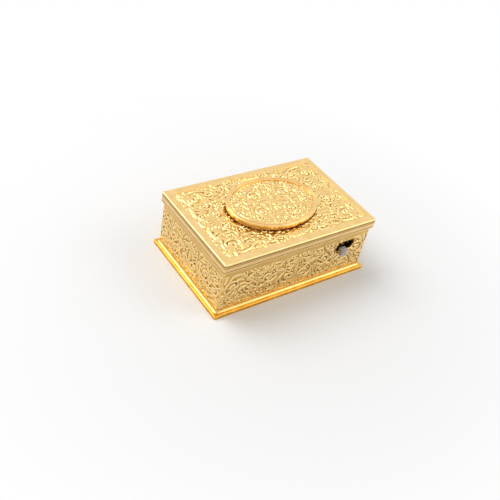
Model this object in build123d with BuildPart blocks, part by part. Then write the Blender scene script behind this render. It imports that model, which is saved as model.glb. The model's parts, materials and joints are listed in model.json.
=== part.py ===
"""A gilt singing bird box: case, hinged oval lid, wind driven bird and its movement.

Millimetres. X runs along the case, the front with the start lever faces -Y, and Z = 0 is the table.
"""
import os
from math import acos, asin, atan2, cos, degrees, hypot, pi, radians, sin, sqrt, tan

from build123d import *

os.makedirs("parts", exist_ok=True)

# Case
cover_length = 100.0
cover_width = 64.0
cover_top = 36.0
cover_edge = 6.5
cover_plate = 2.4
case_corner = 1.0
flange_corner = 0.9
flange_out = 1.2
base_thickness = 2.0
wall_inset = 1.2
wall_thickness = 2.6
foot_rise = 1.6
panel_depth = 0.3
border_width = 4.5

# Chased ornament. Each volute of the cover is given by its two distances in from the field's
# corner, its radius, the bearing it opens at, and which way it curls.
volute_band = 0.7
volute_rise = 0.4
volute_shares = (1.0, 0.62, 0.34, 0.2)
cover_volutes = [
    (8.1, 7.5, 4.6, 126, 1),
    (17.0, 6.3, 3.4, 34, -1),
    (5.0, 15.4, 3.2, 57, -1),
    (11.4, 14.4, 3.2, 160, 1),
]
wall_volute = 4.4
wall_volute_pitch = 11.0
wall_volute_sway = 2.2
wall_volute_opening = 70
wall_volute_turn = 75

# Oval lid and the bird's opening
lid_half_x = 27.35
lid_half_y = 20.7
lid_plate = 1.4
lid_rim = 2.4
lid_rim_rise = 0.7
seat_gap = 0.1
bezel_flange = 1.3
bezel_inset = 1.75
sleeve_half_x = 24.0
sleeve_half_y = 17.4
sleeve_wall = 1.5
ledge_width = 2.0
ledge_drop = 4.2
ledge_thickness = 1.2
grille_thickness = 1.0
knuckle_radius = 1.1
hinge_half = 5.0
hinge_pin_radius = 0.5
hinge_lift = 0.85

# Start lever and its slot
slot_x = 26.8
slot_z = 18.6
slot_length = 12.6
slot_height = 5.9
slot_margin = 1.5
lever_width = 3.6
lever_thickness = 2.4
lever_x = 28.1
lever_z = 19.3
lever_out = 3.5
lever_stroke = 5.5

# Clearances
running = 0.06
sliding = 0.1
moving_gap = 0.35

# Movement plates
plate_length = 88.0
plate_width = 54.0
plate_thickness = 1.2
lower_plate_z = 3.6
plate_gap = 12.2
pillar_radius = 1.8
tenon_radius = 1.1
screw_radius = 0.8
screw_head = 1.7
key_hole_radius = 3.6

# Wheel train
tooth_module = 0.5
tooth_pressure = 25.0
tooth_addendum = 0.8
tooth_dedendum = 1.15
tooth_backlash = 0.12
barrel_teeth = 54
pinion_teeth = 12
cam_wheel_teeth = 48
third_wheel_teeth = 40
barrel_x = -27.0
barrel_y = -11.0
cam_bearing = 80.0
third_bearing = 10.0
fan_bearing = -50.0
wheel_thickness = 1.0
pinion_length = 1.8
pivot_radius = 0.6
barrel_height = 7.6
barrel_skin = 0.8
arbor_radius = 1.8
spring_strip = 0.35
spring_pitch = 1.1
ratchet_teeth = 24
ratchet_radius = 4.6
ratchet_depth = 0.7

# Cams and their levers
cam_radius = 7.2
cam_lift = 0.5
cam_thickness = 0.8
cam_pitch = 1.6
cam_count = 4
stud_x = -14.2
stud_y = -3.5
stud_radius = 1.2
lever_hub = 1.9
arm_width = 1.2

# Bellows and whistle
bellows_hinge_x = 41.5
bellows_hinge_y = -15.0
bellows_length = 36.0
bellows_angle = 14.0
bellows_height = 10.0
board_thickness = 1.5
crank_radius = 2.2
crank_pin_radius = 0.5
whistle_x = 8.0
whistle_length = 31.5
whistle_y = -19.0
whistle_side = 6.0
whistle_bore = 2.0

# Bird
bird_pivot_x = -9.0
bird_pivot_z = 27.0
bird_pin_radius = 0.75
frame_half = 8.4
bird_rise = 14.0
bird_tilt = 30.0
body_radius = 3.3
head_radius = 2.3

flange_length = cover_length + 2 * flange_out
flange_width = cover_width + 2 * flange_out
wall_out_x = cover_length / 2 - wall_inset
wall_out_y = cover_width / 2 - wall_inset
wall_in_x = wall_out_x - wall_thickness
wall_in_y = wall_out_y - wall_thickness
wall_top = cover_top - cover_edge
upper_plate_z = lower_plate_z + plate_thickness + plate_gap
deck = upper_plate_z + plate_thickness
bezel_top = cover_top + bezel_flange
lid_bottom = bezel_top + seat_gap
lid_top = lid_bottom + lid_plate + lid_rim_rise
hinge_y = lid_half_y + moving_gap + knuckle_radius
hinge_z = lid_bottom + hinge_lift
grille_z = cover_top - ledge_drop + ledge_thickness


def polar(x, y, radius, bearing):
    """The point at a distance and a bearing in degrees from another."""
    return x + radius * cos(radians(bearing)), y + radius * sin(radians(bearing))


def pitch_radius(teeth):
    return tooth_module * teeth / 2


cam_x, cam_y = polar(barrel_x, barrel_y, pitch_radius(barrel_teeth + pinion_teeth), cam_bearing)
third_x, third_y = polar(cam_x, cam_y, pitch_radius(cam_wheel_teeth + pinion_teeth), third_bearing)
fan_x, fan_y = polar(third_x, third_y, pitch_radius(third_wheel_teeth + pinion_teeth), fan_bearing)


def gear_points(teeth, x, y, bearing):
    """The outline of a spur wheel with a tooth pointing along the bearing."""
    pitch = pitch_radius(teeth)
    base = pitch * cos(radians(tooth_pressure))
    tip = pitch + tooth_addendum * tooth_module
    root = pitch - tooth_dedendum * tooth_module
    half_pitch = pi / (2 * teeth) - tooth_backlash / (2 * pitch)

    def involute(radius):
        angle = acos(min(1.0, base / radius))
        return tan(angle) - angle

    half_tip = half_pitch + involute(pitch) - involute(tip)
    flank = [(root, -half_pitch), (pitch, -half_pitch), (tip, -half_tip)]
    flank += [(tip, half_tip), (pitch, half_pitch), (root, half_pitch)]
    points = []
    for tooth in range(teeth):
        middle = radians(bearing) + 2 * pi * tooth / teeth
        for radius, turn in flank:
            points.append((x + radius * cos(middle + turn), y + radius * sin(middle + turn)))
    return points


def mesh_bearing(bearing, teeth):
    """The tooth bearing of the driven wheel that puts a gap where the driver has a tooth."""
    return bearing + 180 + 180 / teeth


def disc(x, y, z, radius, height):
    """A private round bar standing on z."""
    return Pos(x, y, z + height / 2) * Cylinder(radius, height, mode=Mode.PRIVATE)


def block(x0, x1, y0, y1, z0, z1):
    """A private box between two corners."""
    box = Box(x1 - x0, y1 - y0, z1 - z0, mode=Mode.PRIVATE)
    return Pos((x0 + x1) / 2, (y0 + y1) / 2, (z0 + z1) / 2) * box


def bar(x0, y0, x1, y1, width, z, height):
    """A private flat arm between two points."""
    length = hypot(x1 - x0, y1 - y0)
    turn = degrees(atan2(y1 - y0, x1 - x0))
    arm = Box(length, width, height, mode=Mode.PRIVATE)
    return Pos((x0 + x1) / 2, (y0 + y1) / 2, z + height / 2) * Rot(0, 0, turn) * arm


def rod_x(x0, x1, y, z, radius):
    """A private round bar along X."""
    return Pos((x0 + x1) / 2, y, z) * Rot(0, 90, 0) * Cylinder(radius, x1 - x0, mode=Mode.PRIVATE)


def rod_y(x, y0, y1, z, radius):
    """A private round bar along Y."""
    return Pos(x, (y0 + y1) / 2, z) * Rot(90, 0, 0) * Cylinder(radius, y1 - y0, mode=Mode.PRIVATE)


# Pillars stand at the corners of the plates and beside the train.
pillar_x = plate_length / 2 - 2.5
pillar_y = plate_width / 2 - 2.5
corner_pillars = [(-pillar_x, -pillar_y), (-pillar_x, pillar_y), (pillar_x, -pillar_y), (pillar_x, pillar_y)]
inner_pillars = [(-8.0, -pillar_y), (-5.0, pillar_y)]
pillars_at = corner_pillars + inner_pillars


def volute(x, y, radius, opening, hand):
    """A raised scroll of three half circles, each tighter than the one before, as a flat band."""
    with BuildSketch(mode=Mode.PRIVATE) as band:
        with BuildLine():
            at_x, at_y = x, y
            for turn, share in enumerate(volute_shares[:-1]):
                start = opening + 180 * turn
                CenterArc((at_x, at_y), radius * share, start, 180 * hand)
                step = radius * (share - volute_shares[turn + 1])
                at_x, at_y = polar(at_x, at_y, step, start + 180)
        trace(line_width=volute_band)
    return band.sketch


# Base plate with the winding hole and countersunk screw holes.
with BuildPart() as base_plate:
    with BuildSketch():
        RectangleRounded(flange_length, flange_width, flange_corner)
    extrude(amount=base_thickness)
    fillet(base_plate.edges().group_by(Axis.Z)[-1], 0.5)
    with BuildSketch():
        with Locations((barrel_x, barrel_y)):
            Circle(key_hole_radius)
    extrude(amount=base_thickness, mode=Mode.SUBTRACT)
    with Locations(*[Location((x, y, 0), (180, 0, 0)) for x, y in corner_pillars]):
        CounterSinkHole(screw_radius, screw_head, depth=base_thickness)
base_plate.part.label = "base_plate"
export_step(base_plate.part, "parts/base_plate.step")

# Base screws run up into the corner pillars.
screw_reach = lower_plate_z + plate_thickness
with BuildPart() as base_screws:
    for px, py in corner_pillars:
        add(disc(px, py, 0.4, screw_radius, screw_reach - 0.4))
        with BuildSketch(Plane.XY.offset(0.15)):
            with Locations((px, py)):
                Circle(screw_head - 0.15)
        extrude(amount=screw_head - screw_radius - 0.15, taper=44.9)
        add(block(px - 1.3, px + 1.3, py - 0.2, py + 0.2, 0, 0.5), mode=Mode.SUBTRACT)
base_screws.part.label = "base_screws"
export_step(base_screws.part, "parts/base_screws.step")

# Case wall ring with a hollow moulding at its foot, cut into four walls at the mitres.
foot_outline = RectangleRounded(2 * wall_out_x, 2 * wall_out_y, case_corner)
foot_wire = Plane.XY.offset(base_thickness) * foot_outline.wire()
foot_plane = Plane(origin=(0, -wall_out_y, base_thickness), x_dir=(0, -1, 0), z_dir=(-1, 0, 0))
foot_step = wall_inset + flange_out - 0.7
with BuildPart() as wall_ring:
    with BuildSketch(Plane.XY.offset(base_thickness)):
        RectangleRounded(2 * wall_out_x, 2 * wall_out_y, case_corner)
        RectangleRounded(2 * wall_in_x, 2 * wall_in_y, 0.6, mode=Mode.SUBTRACT)
    extrude(amount=wall_top - base_thickness)
    with BuildSketch(foot_plane):
        with BuildLine():
            Line((-0.4, 0), (foot_step, 0))
            Line((foot_step, 0), (foot_step, 0.4))
            RadiusArc((foot_step, 0.4), (0, foot_rise), foot_rise)
            Line((0, foot_rise), (-0.4, foot_rise))
            Line((-0.4, foot_rise), (-0.4, 0))
        make_face()
    sweep(path=foot_wire, transition=Transition.RIGHT)
    panel_z = base_thickness + foot_rise + 0.4
    panel_top = cover_top - 10.0
    panel_sides = []
    for s in (-1, 1):
        panel_sides.append((Plane(origin=(0, s * wall_out_y, panel_z), x_dir=(-s, 0, 0), z_dir=(0, s, 0)), wall_out_x))
    for s in (-1, 1):
        panel_sides.append((Plane(origin=(s * wall_out_x, 0, panel_z), x_dir=(0, s, 0), z_dir=(s, 0, 0)), wall_out_y))
    for side, reach in panel_sides:
        with BuildSketch(side):
            with Locations((0, (panel_top - panel_z) / 2)):
                Rectangle(2 * (reach - case_corner), panel_top - panel_z)
        extrude(amount=-panel_depth, mode=Mode.SUBTRACT)
        count = round((reach - case_corner) / wall_volute_pitch)
        pitch = (reach - case_corner) / count
        middle = (panel_top - panel_z) / 2
        for place in range(count):
            rise = 1 if place % 2 else -1
            for way in (-1, 1):
                x, y = way * pitch * (place + 0.5), middle + rise * wall_volute_sway
                opening = wall_volute_opening + wall_volute_turn * place
                opening = opening if way == 1 else 180 - opening
                with BuildSketch(side.offset(-panel_depth)):
                    add(volute(x, y, wall_volute, opening, rise * way))
                extrude(amount=volute_rise)
    add(block(slot_x - slot_margin, slot_x + slot_length + slot_margin, -wall_out_y - 1, -wall_out_y + panel_depth,
              slot_z - slot_margin, slot_z + slot_height + slot_margin), mode=Mode.SUBTRACT)
    slot_plane = Plane(origin=(0, -wall_out_y, 0), x_dir=(1, 0, 0), z_dir=(0, -1, 0))
    with BuildSketch(slot_plane) as slot_sketch:
        with BuildLine():
            low, high = slot_z, slot_z + slot_height
            left, right = slot_x, slot_x + slot_length
            Polyline((left, low + 0.8), (left + 1.2, high - 0.6), (left + 4.5, high),
                     (right - 0.6, high - 0.1), (right, high - 3.0), (right - 1.6, low),
                     (left + 1.0, low - 0.1), close=True)
        make_face()
        fillet(slot_sketch.vertices(), 0.45)
    extrude(amount=-(wall_thickness + 1), mode=Mode.SUBTRACT)

mitre = (cover_length - cover_width) / 2
far_x = cover_length / 2 + 10
far_y = cover_width / 2 + 10
long_side = [(-far_x, -far_y), (far_x, -far_y), (mitre, 0), (-mitre, 0)]
short_side = [(-far_x, -far_y), (-mitre, 0), (-far_x, far_y)]


def wall(corners):
    """The part of the ring inside a wedge, which ends at the mitres."""
    with BuildPart() as side:
        add(wall_ring.part)
        with BuildSketch():
            Polygon(*corners, align=None)
        extrude(amount=cover_top, mode=Mode.INTERSECT)
    return side


front_wall = wall(long_side)
front_wall.part.label = "front_wall"
export_step(front_wall.part, "parts/front_wall.step")
back_wall = wall([(x, -y) for x, y in long_side])
back_wall.part.label = "back_wall"
export_step(back_wall.part, "parts/back_wall.step")
left_wall = wall(short_side)
left_wall.part.label = "left_wall"
export_step(left_wall.part, "parts/left_wall.step")
right_wall = wall([(-x, y) for x, y in short_side])
right_wall.part.label = "right_wall"
export_step(right_wall.part, "parts/right_wall.step")

# Top cover with a moulded edge, a sunk relief field and the oval opening.
with BuildPart() as top_cover:
    with BuildSketch(Plane.XY.offset(wall_top)):
        RectangleRounded(cover_length, cover_width, case_corner)
    extrude(amount=cover_edge)
    chamfer(top_cover.edges().group_by(Axis.Z)[0], 0.7)
    fillet(top_cover.edges().group_by(Axis.Z)[-1], 0.6)
    with BuildSketch(Plane.XY.offset(wall_top)):
        Rectangle(2 * wall_in_x, 2 * wall_in_y)
    extrude(amount=cover_edge - cover_plate, mode=Mode.SUBTRACT)
    for groove_z, groove_height in ((cover_top - 1.3, 0.3), (cover_top - 2.3, 0.3), (wall_top + 1.5, 0.3)):
        with BuildSketch(Plane.XY.offset(groove_z)):
            RectangleRounded(cover_length + 1, cover_width + 1, case_corner + 0.5)
            RectangleRounded(cover_length - 0.5, cover_width - 0.5, case_corner - 0.25, mode=Mode.SUBTRACT)
        extrude(amount=groove_height, mode=Mode.SUBTRACT)
    with BuildSketch(Plane.XY.offset(cover_top)):
        RectangleRounded(cover_length - 2 * border_width, cover_width - 2 * border_width, 2.0)
    extrude(amount=-panel_depth, mode=Mode.SUBTRACT)
    field_x, field_y = cover_length / 2 - border_width, cover_width / 2 - border_width
    for in_x, in_y, radius, opening, hand in cover_volutes:
        for way_x, way_y in ((1, 1), (-1, 1), (1, -1), (-1, -1)):
            turned = opening if way_x == 1 else 180 - opening
            turned = turned if way_y == 1 else -turned
            at_x, at_y = way_x * (field_x - in_x), way_y * (field_y - in_y)
            with BuildSketch(Plane.XY.offset(cover_top - panel_depth)):
                add(volute(at_x, at_y, radius, turned, hand * way_x * way_y))
                Ellipse(lid_half_x - bezel_inset + 0.4, lid_half_y - bezel_inset + 0.4, mode=Mode.SUBTRACT)
            extrude(amount=volute_rise)
    with BuildSketch(Plane.XY.offset(wall_top)):
        Ellipse(sleeve_half_x, sleeve_half_y)
    extrude(amount=cover_edge, mode=Mode.SUBTRACT)
top_cover.part.label = "top_cover"
export_step(top_cover.part, "parts/top_cover.step")

# Oval bezel: flange on the cover, sleeve through it, ledge for the grille and two hinge knuckles.
grille_screw = 0.5
grille_screw_x = 0.753 * (sleeve_half_x - sleeve_wall - ledge_width / 2)
grille_screw_y = 0.664 * (sleeve_half_y - sleeve_wall - ledge_width / 2)
grille_screw_spots = [(sx * grille_screw_x, sy * grille_screw_y) for sx in (-1, 1) for sy in (-1, 1)]
bezel_x = lid_half_x - bezel_inset
bezel_y = lid_half_y - bezel_inset
with BuildPart() as oval_bezel:
    with BuildSketch(Plane.XY.offset(cover_top - panel_depth)):
        Ellipse(bezel_x, bezel_y)
    extrude(amount=panel_depth + bezel_flange)
    with BuildSketch(Plane.XY.offset(cover_top - ledge_drop)):
        Ellipse(sleeve_half_x, sleeve_half_y)
    extrude(amount=ledge_drop)
    with BuildSketch(Plane.XY.offset(grille_z)):
        Ellipse(sleeve_half_x - sleeve_wall, sleeve_half_y - sleeve_wall)
    extrude(amount=cover_top, mode=Mode.SUBTRACT)
    with BuildSketch(Plane.XY.offset(cover_top - ledge_drop)):
        Ellipse(sleeve_half_x - sleeve_wall - ledge_width, sleeve_half_y - sleeve_wall - ledge_width)
    extrude(amount=cover_top, mode=Mode.SUBTRACT)
    for side in (-1, 1):
        inner, outer = sorted((side * (hinge_half - 2.8), side * hinge_half))
        add(block(inner, outer, bezel_y - 1.5, hinge_y + knuckle_radius, bezel_top - 0.5, bezel_top))
        add(rod_x(inner, outer, hinge_y, hinge_z, knuckle_radius))
        add(rod_x(inner, outer, hinge_y, hinge_z, hinge_pin_radius), mode=Mode.SUBTRACT)
    for px, py in grille_screw_spots:
        add(disc(px, py, grille_z - ledge_thickness, grille_screw, ledge_thickness), mode=Mode.SUBTRACT)
oval_bezel.part.label = "oval_bezel"
export_step(oval_bezel.part, "parts/oval_bezel.step")

with BuildPart() as lid_hinge_pin:
    add(rod_x(-hinge_half, hinge_half, hinge_y, hinge_z, hinge_pin_radius))
lid_hinge_pin.part.label = "lid_hinge_pin"
export_step(lid_hinge_pin.part, "parts/lid_hinge_pin.step")

# Oval lid with a raised rim and a knuckle at the back.
knuckle_half = hinge_half - 2.8 - 0.25
with BuildPart() as oval_lid:
    with BuildSketch(Plane.XY.offset(lid_bottom)):
        Ellipse(lid_half_x, lid_half_y)
    extrude(amount=lid_plate + lid_rim_rise)
    fillet(oval_lid.edges().group_by(Axis.Z)[-1], 0.45)
    with BuildSketch(Plane.XY.offset(lid_top - 0.25)):
        Ellipse(lid_half_x - 1.0, lid_half_y - 1.0)
        Ellipse(lid_half_x - 1.35, lid_half_y - 1.35, mode=Mode.SUBTRACT)
    extrude(amount=0.3, mode=Mode.SUBTRACT)
    with BuildSketch(Plane.XY.offset(lid_bottom + lid_plate)):
        Ellipse(lid_half_x - lid_rim, lid_half_y - lid_rim)
    extrude(amount=lid_rim_rise, mode=Mode.SUBTRACT)
    add(block(-knuckle_half, knuckle_half, lid_half_y - 0.9, hinge_y,
              lid_bottom + 0.1, lid_bottom + lid_plate))
    add(rod_x(-knuckle_half, knuckle_half, hinge_y, hinge_z, knuckle_radius))
    add(rod_x(-knuckle_half - 1, knuckle_half + 1, hinge_y, hinge_z, hinge_pin_radius + running),
        mode=Mode.SUBTRACT)
oval_lid.part.label = "oval_lid"
export_step(oval_lid.part, "parts/oval_lid.step")

# Pierced grille round the bird's slot.
grille_x = sleeve_half_x - sleeve_wall
grille_y = sleeve_half_y - sleeve_wall
bird_slot_x0 = -14.0
bird_slot_x1 = 16.0
bird_slot_half = 7.0
with BuildPart() as bird_grille:
    with BuildSketch(Plane.XY.offset(grille_z)):
        Ellipse(grille_x, grille_y)
        with Locations(((bird_slot_x0 + bird_slot_x1) / 2, 0)):
            RectangleRounded(bird_slot_x1 - bird_slot_x0, 2 * bird_slot_half, 3.0, mode=Mode.SUBTRACT)
        for step in range(9):
            across = -12.8 + 3.2 * step
            for side in (-1, 1):
                row_y = side * (grille_y - 3.0) * sqrt(1 - (across / grille_x) ** 2) - side * 0.9
                with Locations((across, row_y)):
                    Circle(0.8, mode=Mode.SUBTRACT)
        with Locations(*grille_screw_spots):
            Circle(grille_screw, mode=Mode.SUBTRACT)
    extrude(amount=grille_thickness)
bird_grille.part.label = "bird_grille"
export_step(bird_grille.part, "parts/bird_grille.step")

with BuildPart() as grille_screws:
    screw_top = grille_z + grille_thickness + 0.6
    for px, py in grille_screw_spots:
        add(disc(px, py, grille_z - ledge_thickness, grille_screw, ledge_thickness + grille_thickness))
        add(disc(px, py, grille_z + grille_thickness, 0.9, 0.6))
        add(block(px - 1.1, px + 1.1, py - 0.15, py + 0.15, screw_top - 0.3, screw_top + 1),
            mode=Mode.SUBTRACT)
grille_screws.part.label = "grille_screws"
export_step(grille_screws.part, "parts/grille_screws.step")

# Start lever: steel tab through the front slot, riding a rail on the deck.
rail_y0 = -wall_in_y + 2.2
rail_y1 = rail_y0 + 1.4
with BuildPart() as start_slider:
    add(block(lever_x, lever_x + lever_width, -wall_out_y - lever_out, rail_y1 + 1.2,
              lever_z, lever_z + lever_thickness))
    fillet(start_slider.edges().filter_by(Axis.X).group_by(Axis.Y)[0], 0.7)
    fillet(start_slider.edges().filter_by(Axis.Z).group_by(Axis.Y)[0], 0.5)
    for step in range(3):
        notch = -wall_out_y - lever_out + 1.0 + 0.9 * step
        add(block(lever_x - 1, lever_x + lever_width + 1, notch, notch + 0.4,
                  lever_z + lever_thickness - 0.25, lever_z + 9), mode=Mode.SUBTRACT)
    skirt_z = deck + 0.3
    add(block(lever_x - 0.6, lever_x + lever_width + 0.6, rail_y0 - 1.2, rail_y0 - sliding,
              skirt_z, lever_z + lever_thickness))
    add(block(lever_x - 0.6, lever_x + lever_width + 0.6, rail_y1 + sliding, rail_y1 + 1.2,
              skirt_z, lever_z + lever_thickness))
    add(block(lever_x - 0.6, lever_x + lever_width + 0.6, rail_y0 - 0.2, rail_y1 + 0.2,
              lever_z, lever_z + lever_thickness))
    add(block(lever_x + 0.8, lever_x + 2.7, rail_y1 + 0.6, rail_y1 + 1.9, skirt_z, skirt_z + 0.7))
start_slider.part.label = "start_slider"
export_step(start_slider.part, "parts/start_slider.step")

with BuildPart() as slider_guide:
    add(block(lever_x - 3, lever_x + lever_width + lever_stroke + 1.5, rail_y0, rail_y1,
              deck, lever_z - sliding))
slider_guide.part.label = "slider_guide"
export_step(slider_guide.part, "parts/slider_guide.step")

# Movement plates with pivot holes.
pivots = [(cam_x, cam_y), (third_x, third_y), (fan_x, fan_y)]


def plate(z, arbor):
    """A movement plate with a hole for each arbor and pillar."""
    with BuildPart() as sheet:
        with BuildSketch(Plane.XY.offset(z)):
            RectangleRounded(plate_length, plate_width, 3.0)
            with Locations(*pivots):
                Circle(pivot_radius + running, mode=Mode.SUBTRACT)
            with Locations((barrel_x, barrel_y)):
                Circle(arbor + running, mode=Mode.SUBTRACT)
            with Locations(*pillars_at):
                Circle(tenon_radius, mode=Mode.SUBTRACT)
        extrude(amount=plate_thickness)
    return sheet


lower_plate = plate(lower_plate_z, arbor_radius)
lower_plate.part.label = "lower_plate"
export_step(lower_plate.part, "parts/lower_plate.step")

whistle_end = whistle_x + whistle_length
pipe_radius = 0.7
pipe_x, pipe_y = whistle_end - 1.3, whistle_y
upper_plate = plate(upper_plate_z, arbor_radius)
with upper_plate:
    add(disc(cam_x, cam_y, upper_plate_z, 1.2 + running, plate_thickness), mode=Mode.SUBTRACT)
    add(disc(pipe_x, pipe_y, upper_plate_z, pipe_radius, plate_thickness), mode=Mode.SUBTRACT)
upper_plate.part.label = "upper_plate"
export_step(upper_plate.part, "parts/upper_plate.step")

with BuildPart() as pillars:
    for px, py in pillars_at:
        add(disc(px, py, base_thickness, pillar_radius, lower_plate_z - base_thickness))
        add(disc(px, py, lower_plate_z + plate_thickness, pillar_radius, plate_gap))
        add(disc(px, py, base_thickness, tenon_radius, deck - base_thickness))
    for px, py in corner_pillars:
        add(disc(px, py, base_thickness, screw_radius, screw_reach - base_thickness), mode=Mode.SUBTRACT)
pillars.part.label = "pillars"
export_step(pillars.part, "parts/pillars.step")

with BuildPart() as pillar_nuts:
    for px, py in pillars_at:
        add(disc(px, py, deck, pillar_radius, 0.9))
        add(block(px - 2, px + 2, py - 0.2, py + 0.2, deck + 0.5, deck + 2), mode=Mode.SUBTRACT)
pillar_nuts.part.label = "pillar_nuts"
export_step(pillar_nuts.part, "parts/pillar_nuts.step")

# Spring barrel, its cover and the coiled mainspring.
barrel_z = lower_plate_z + plate_thickness + 0.8
drum_radius = pitch_radius(barrel_teeth) - tooth_dedendum * tooth_module - 0.3
drum_bore = drum_radius - barrel_skin
lid_z = barrel_z + barrel_height - barrel_skin
with BuildPart() as barrel:
    with BuildSketch(Plane.XY.offset(barrel_z)):
        Polygon(*gear_points(barrel_teeth, barrel_x, barrel_y, cam_bearing), align=None)
    extrude(amount=1.4)
    add(disc(barrel_x, barrel_y, barrel_z, drum_radius, barrel_height))
    add(disc(barrel_x, barrel_y, barrel_z + 1.0, drum_bore, barrel_height), mode=Mode.SUBTRACT)
    add(disc(barrel_x, barrel_y, barrel_z, arbor_radius + running, barrel_height), mode=Mode.SUBTRACT)
barrel.part.label = "barrel"
export_step(barrel.part, "parts/barrel.step")

with BuildPart() as barrel_cover:
    add(disc(barrel_x, barrel_y, lid_z, drum_bore, barrel_skin))
    add(disc(barrel_x, barrel_y, lid_z, arbor_radius + running, barrel_skin), mode=Mode.SUBTRACT)
barrel_cover.part.label = "barrel_cover"
export_step(barrel_cover.part, "parts/barrel_cover.step")

spring_inner = arbor_radius + 0.9
spring_turns = int((drum_bore - 0.2 - spring_inner - spring_strip) / spring_pitch)
spiral_steps = 24 * spring_turns
inner_edge = []
outer_edge = []
for step in range(spiral_steps + 1):
    spiral_radius = spring_inner + spring_pitch * step / 24
    inner_edge.append(polar(barrel_x, barrel_y, spiral_radius, 15 * step))
    outer_edge.append(polar(barrel_x, barrel_y, spiral_radius + spring_strip, 15 * step))
with BuildPart() as mainspring:
    with BuildSketch(Plane.XY.offset(barrel_z + 1.0)):
        Polygon(*(inner_edge + outer_edge[::-1]), align=None)
    extrude(amount=lid_z - barrel_z - 1.3)
mainspring.part.label = "mainspring"
export_step(mainspring.part, "parts/mainspring.step")

# Winding arbor with a square end behind the key hole, and the ratchet above the deck.
ratchet_z = deck + 0.6
with BuildPart() as winding_arbor:
    add(disc(barrel_x, barrel_y, lower_plate_z - 0.4, arbor_radius, ratchet_z + wheel_thickness + 0.6
             - lower_plate_z + 0.4))
    add(block(barrel_x - 1.2, barrel_x + 1.2, barrel_y - 1.2, barrel_y + 1.2,
              base_thickness + 0.3, lower_plate_z))
winding_arbor.part.label = "winding_arbor"
export_step(winding_arbor.part, "parts/winding_arbor.step")

click_bearing = 215.0
saw = []
for tooth in range(ratchet_teeth):
    start = click_bearing + 2 + 360 * tooth / ratchet_teeth
    saw.append(polar(barrel_x, barrel_y, ratchet_radius, start))
    saw.append(polar(barrel_x, barrel_y, ratchet_radius - ratchet_depth, start + 300 / ratchet_teeth))
with BuildPart() as ratchet_wheel:
    with BuildSketch(Plane.XY.offset(ratchet_z)):
        Polygon(*saw, align=None)
        with Locations((barrel_x, barrel_y)):
            Circle(arbor_radius, mode=Mode.SUBTRACT)
    extrude(amount=wheel_thickness)
ratchet_wheel.part.label = "ratchet_wheel"
export_step(ratchet_wheel.part, "parts/ratchet_wheel.step")

tip_x, tip_y = polar(barrel_x, barrel_y, ratchet_radius - ratchet_depth + 0.22, click_bearing - 1.8)
click_x, click_y = polar(tip_x, tip_y, 6.4, click_bearing - 50)
with BuildPart() as click:
    with BuildSketch(Plane.XY.offset(ratchet_z + 0.1)):
        back_x, back_y = polar(click_x, click_y, 1.0, click_bearing + 40)
        fore_x, fore_y = polar(click_x, click_y, 1.0, click_bearing - 140)
        Polygon((tip_x, tip_y), (back_x, back_y), (fore_x, fore_y), align=None)
        with Locations((click_x, click_y)):
            Circle(1.6)
            Circle(0.7 + running, mode=Mode.SUBTRACT)
    extrude(amount=wheel_thickness - 0.2)
click.part.label = "click"
export_step(click.part, "parts/click.step")

with BuildPart() as click_screw:
    add(disc(click_x, click_y, upper_plate_z + plate_thickness, 1.2, ratchet_z - deck))
    add(disc(click_x, click_y, deck, 0.7, ratchet_z + wheel_thickness - deck))
    add(disc(click_x, click_y, ratchet_z + wheel_thickness, 1.3, 0.6))
click_screw.part.label = "click_screw"
export_step(click_screw.part, "parts/click_screw.step")

# Cam arbor with its pinion, the cam wheel and four wavy cams above the deck.
pinion_z = barrel_z - 0.2
cam_wheel_z = barrel_z + barrel_height + 0.5
cam_pinion_bearing = mesh_bearing(cam_bearing, pinion_teeth)
cam_stack_z = deck + 1.2
cam_arbor_top = cam_stack_z + cam_pitch * cam_count + 0.6
with BuildPart() as cam_arbor:
    add(disc(cam_x, cam_y, lower_plate_z, pivot_radius, plate_thickness + 0.3))
    add(disc(cam_x, cam_y, lower_plate_z + plate_thickness + 0.3, 1.2, cam_arbor_top - lower_plate_z
             - plate_thickness - 0.3))
    with BuildSketch(Plane.XY.offset(pinion_z)):
        Polygon(*gear_points(pinion_teeth, cam_x, cam_y, cam_pinion_bearing), align=None)
    extrude(amount=pinion_length)
cam_arbor.part.label = "cam_arbor"
export_step(cam_arbor.part, "parts/cam_arbor.step")


def wheel(teeth, x, y, z, bearing, bore, spokes):
    """A spoked wheel on an arbor."""
    rim = pitch_radius(teeth) - tooth_dedendum * tooth_module - 1.2
    with BuildPart() as body:
        with BuildSketch(Plane.XY.offset(z)):
            Polygon(*gear_points(teeth, x, y, bearing), align=None)
            with Locations((x, y)):
                Circle(rim, mode=Mode.SUBTRACT)
                Circle(bore + 1.4)
                for spoke in range(spokes):
                    Rectangle(2 * rim + 0.6, 1.2, rotation=180 * spoke / spokes)
                Circle(bore, mode=Mode.SUBTRACT)
        extrude(amount=wheel_thickness)
    return body


cam_wheel = wheel(cam_wheel_teeth, cam_x, cam_y, cam_wheel_z, third_bearing, 1.2, 2)
cam_wheel.part.label = "cam_wheel"
export_step(cam_wheel.part, "parts/cam_wheel.step")


def cam(level, waves, phase):
    """A cam whose edge rises and falls in smooth waves, with its spacer below."""
    edge = []
    for step in range(60):
        turn = 6 * step
        lift = cam_lift * 0.5 * (sin(radians(waves * turn + phase)) + sin(radians(2 * turn + phase)))
        edge.append(polar(cam_x, cam_y, cam_radius + lift, turn))
    with BuildPart() as body:
        z = cam_stack_z + cam_pitch * level
        add(disc(cam_x, cam_y, z - (cam_pitch - cam_thickness), 2.2, cam_pitch - cam_thickness))
        with BuildSketch(Plane.XY.offset(z)):
            Polygon(*edge, align=None)
        extrude(amount=cam_thickness)
        add(disc(cam_x, cam_y, z - cam_pitch, 1.2, 2 * cam_pitch), mode=Mode.SUBTRACT)
    return body


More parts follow.
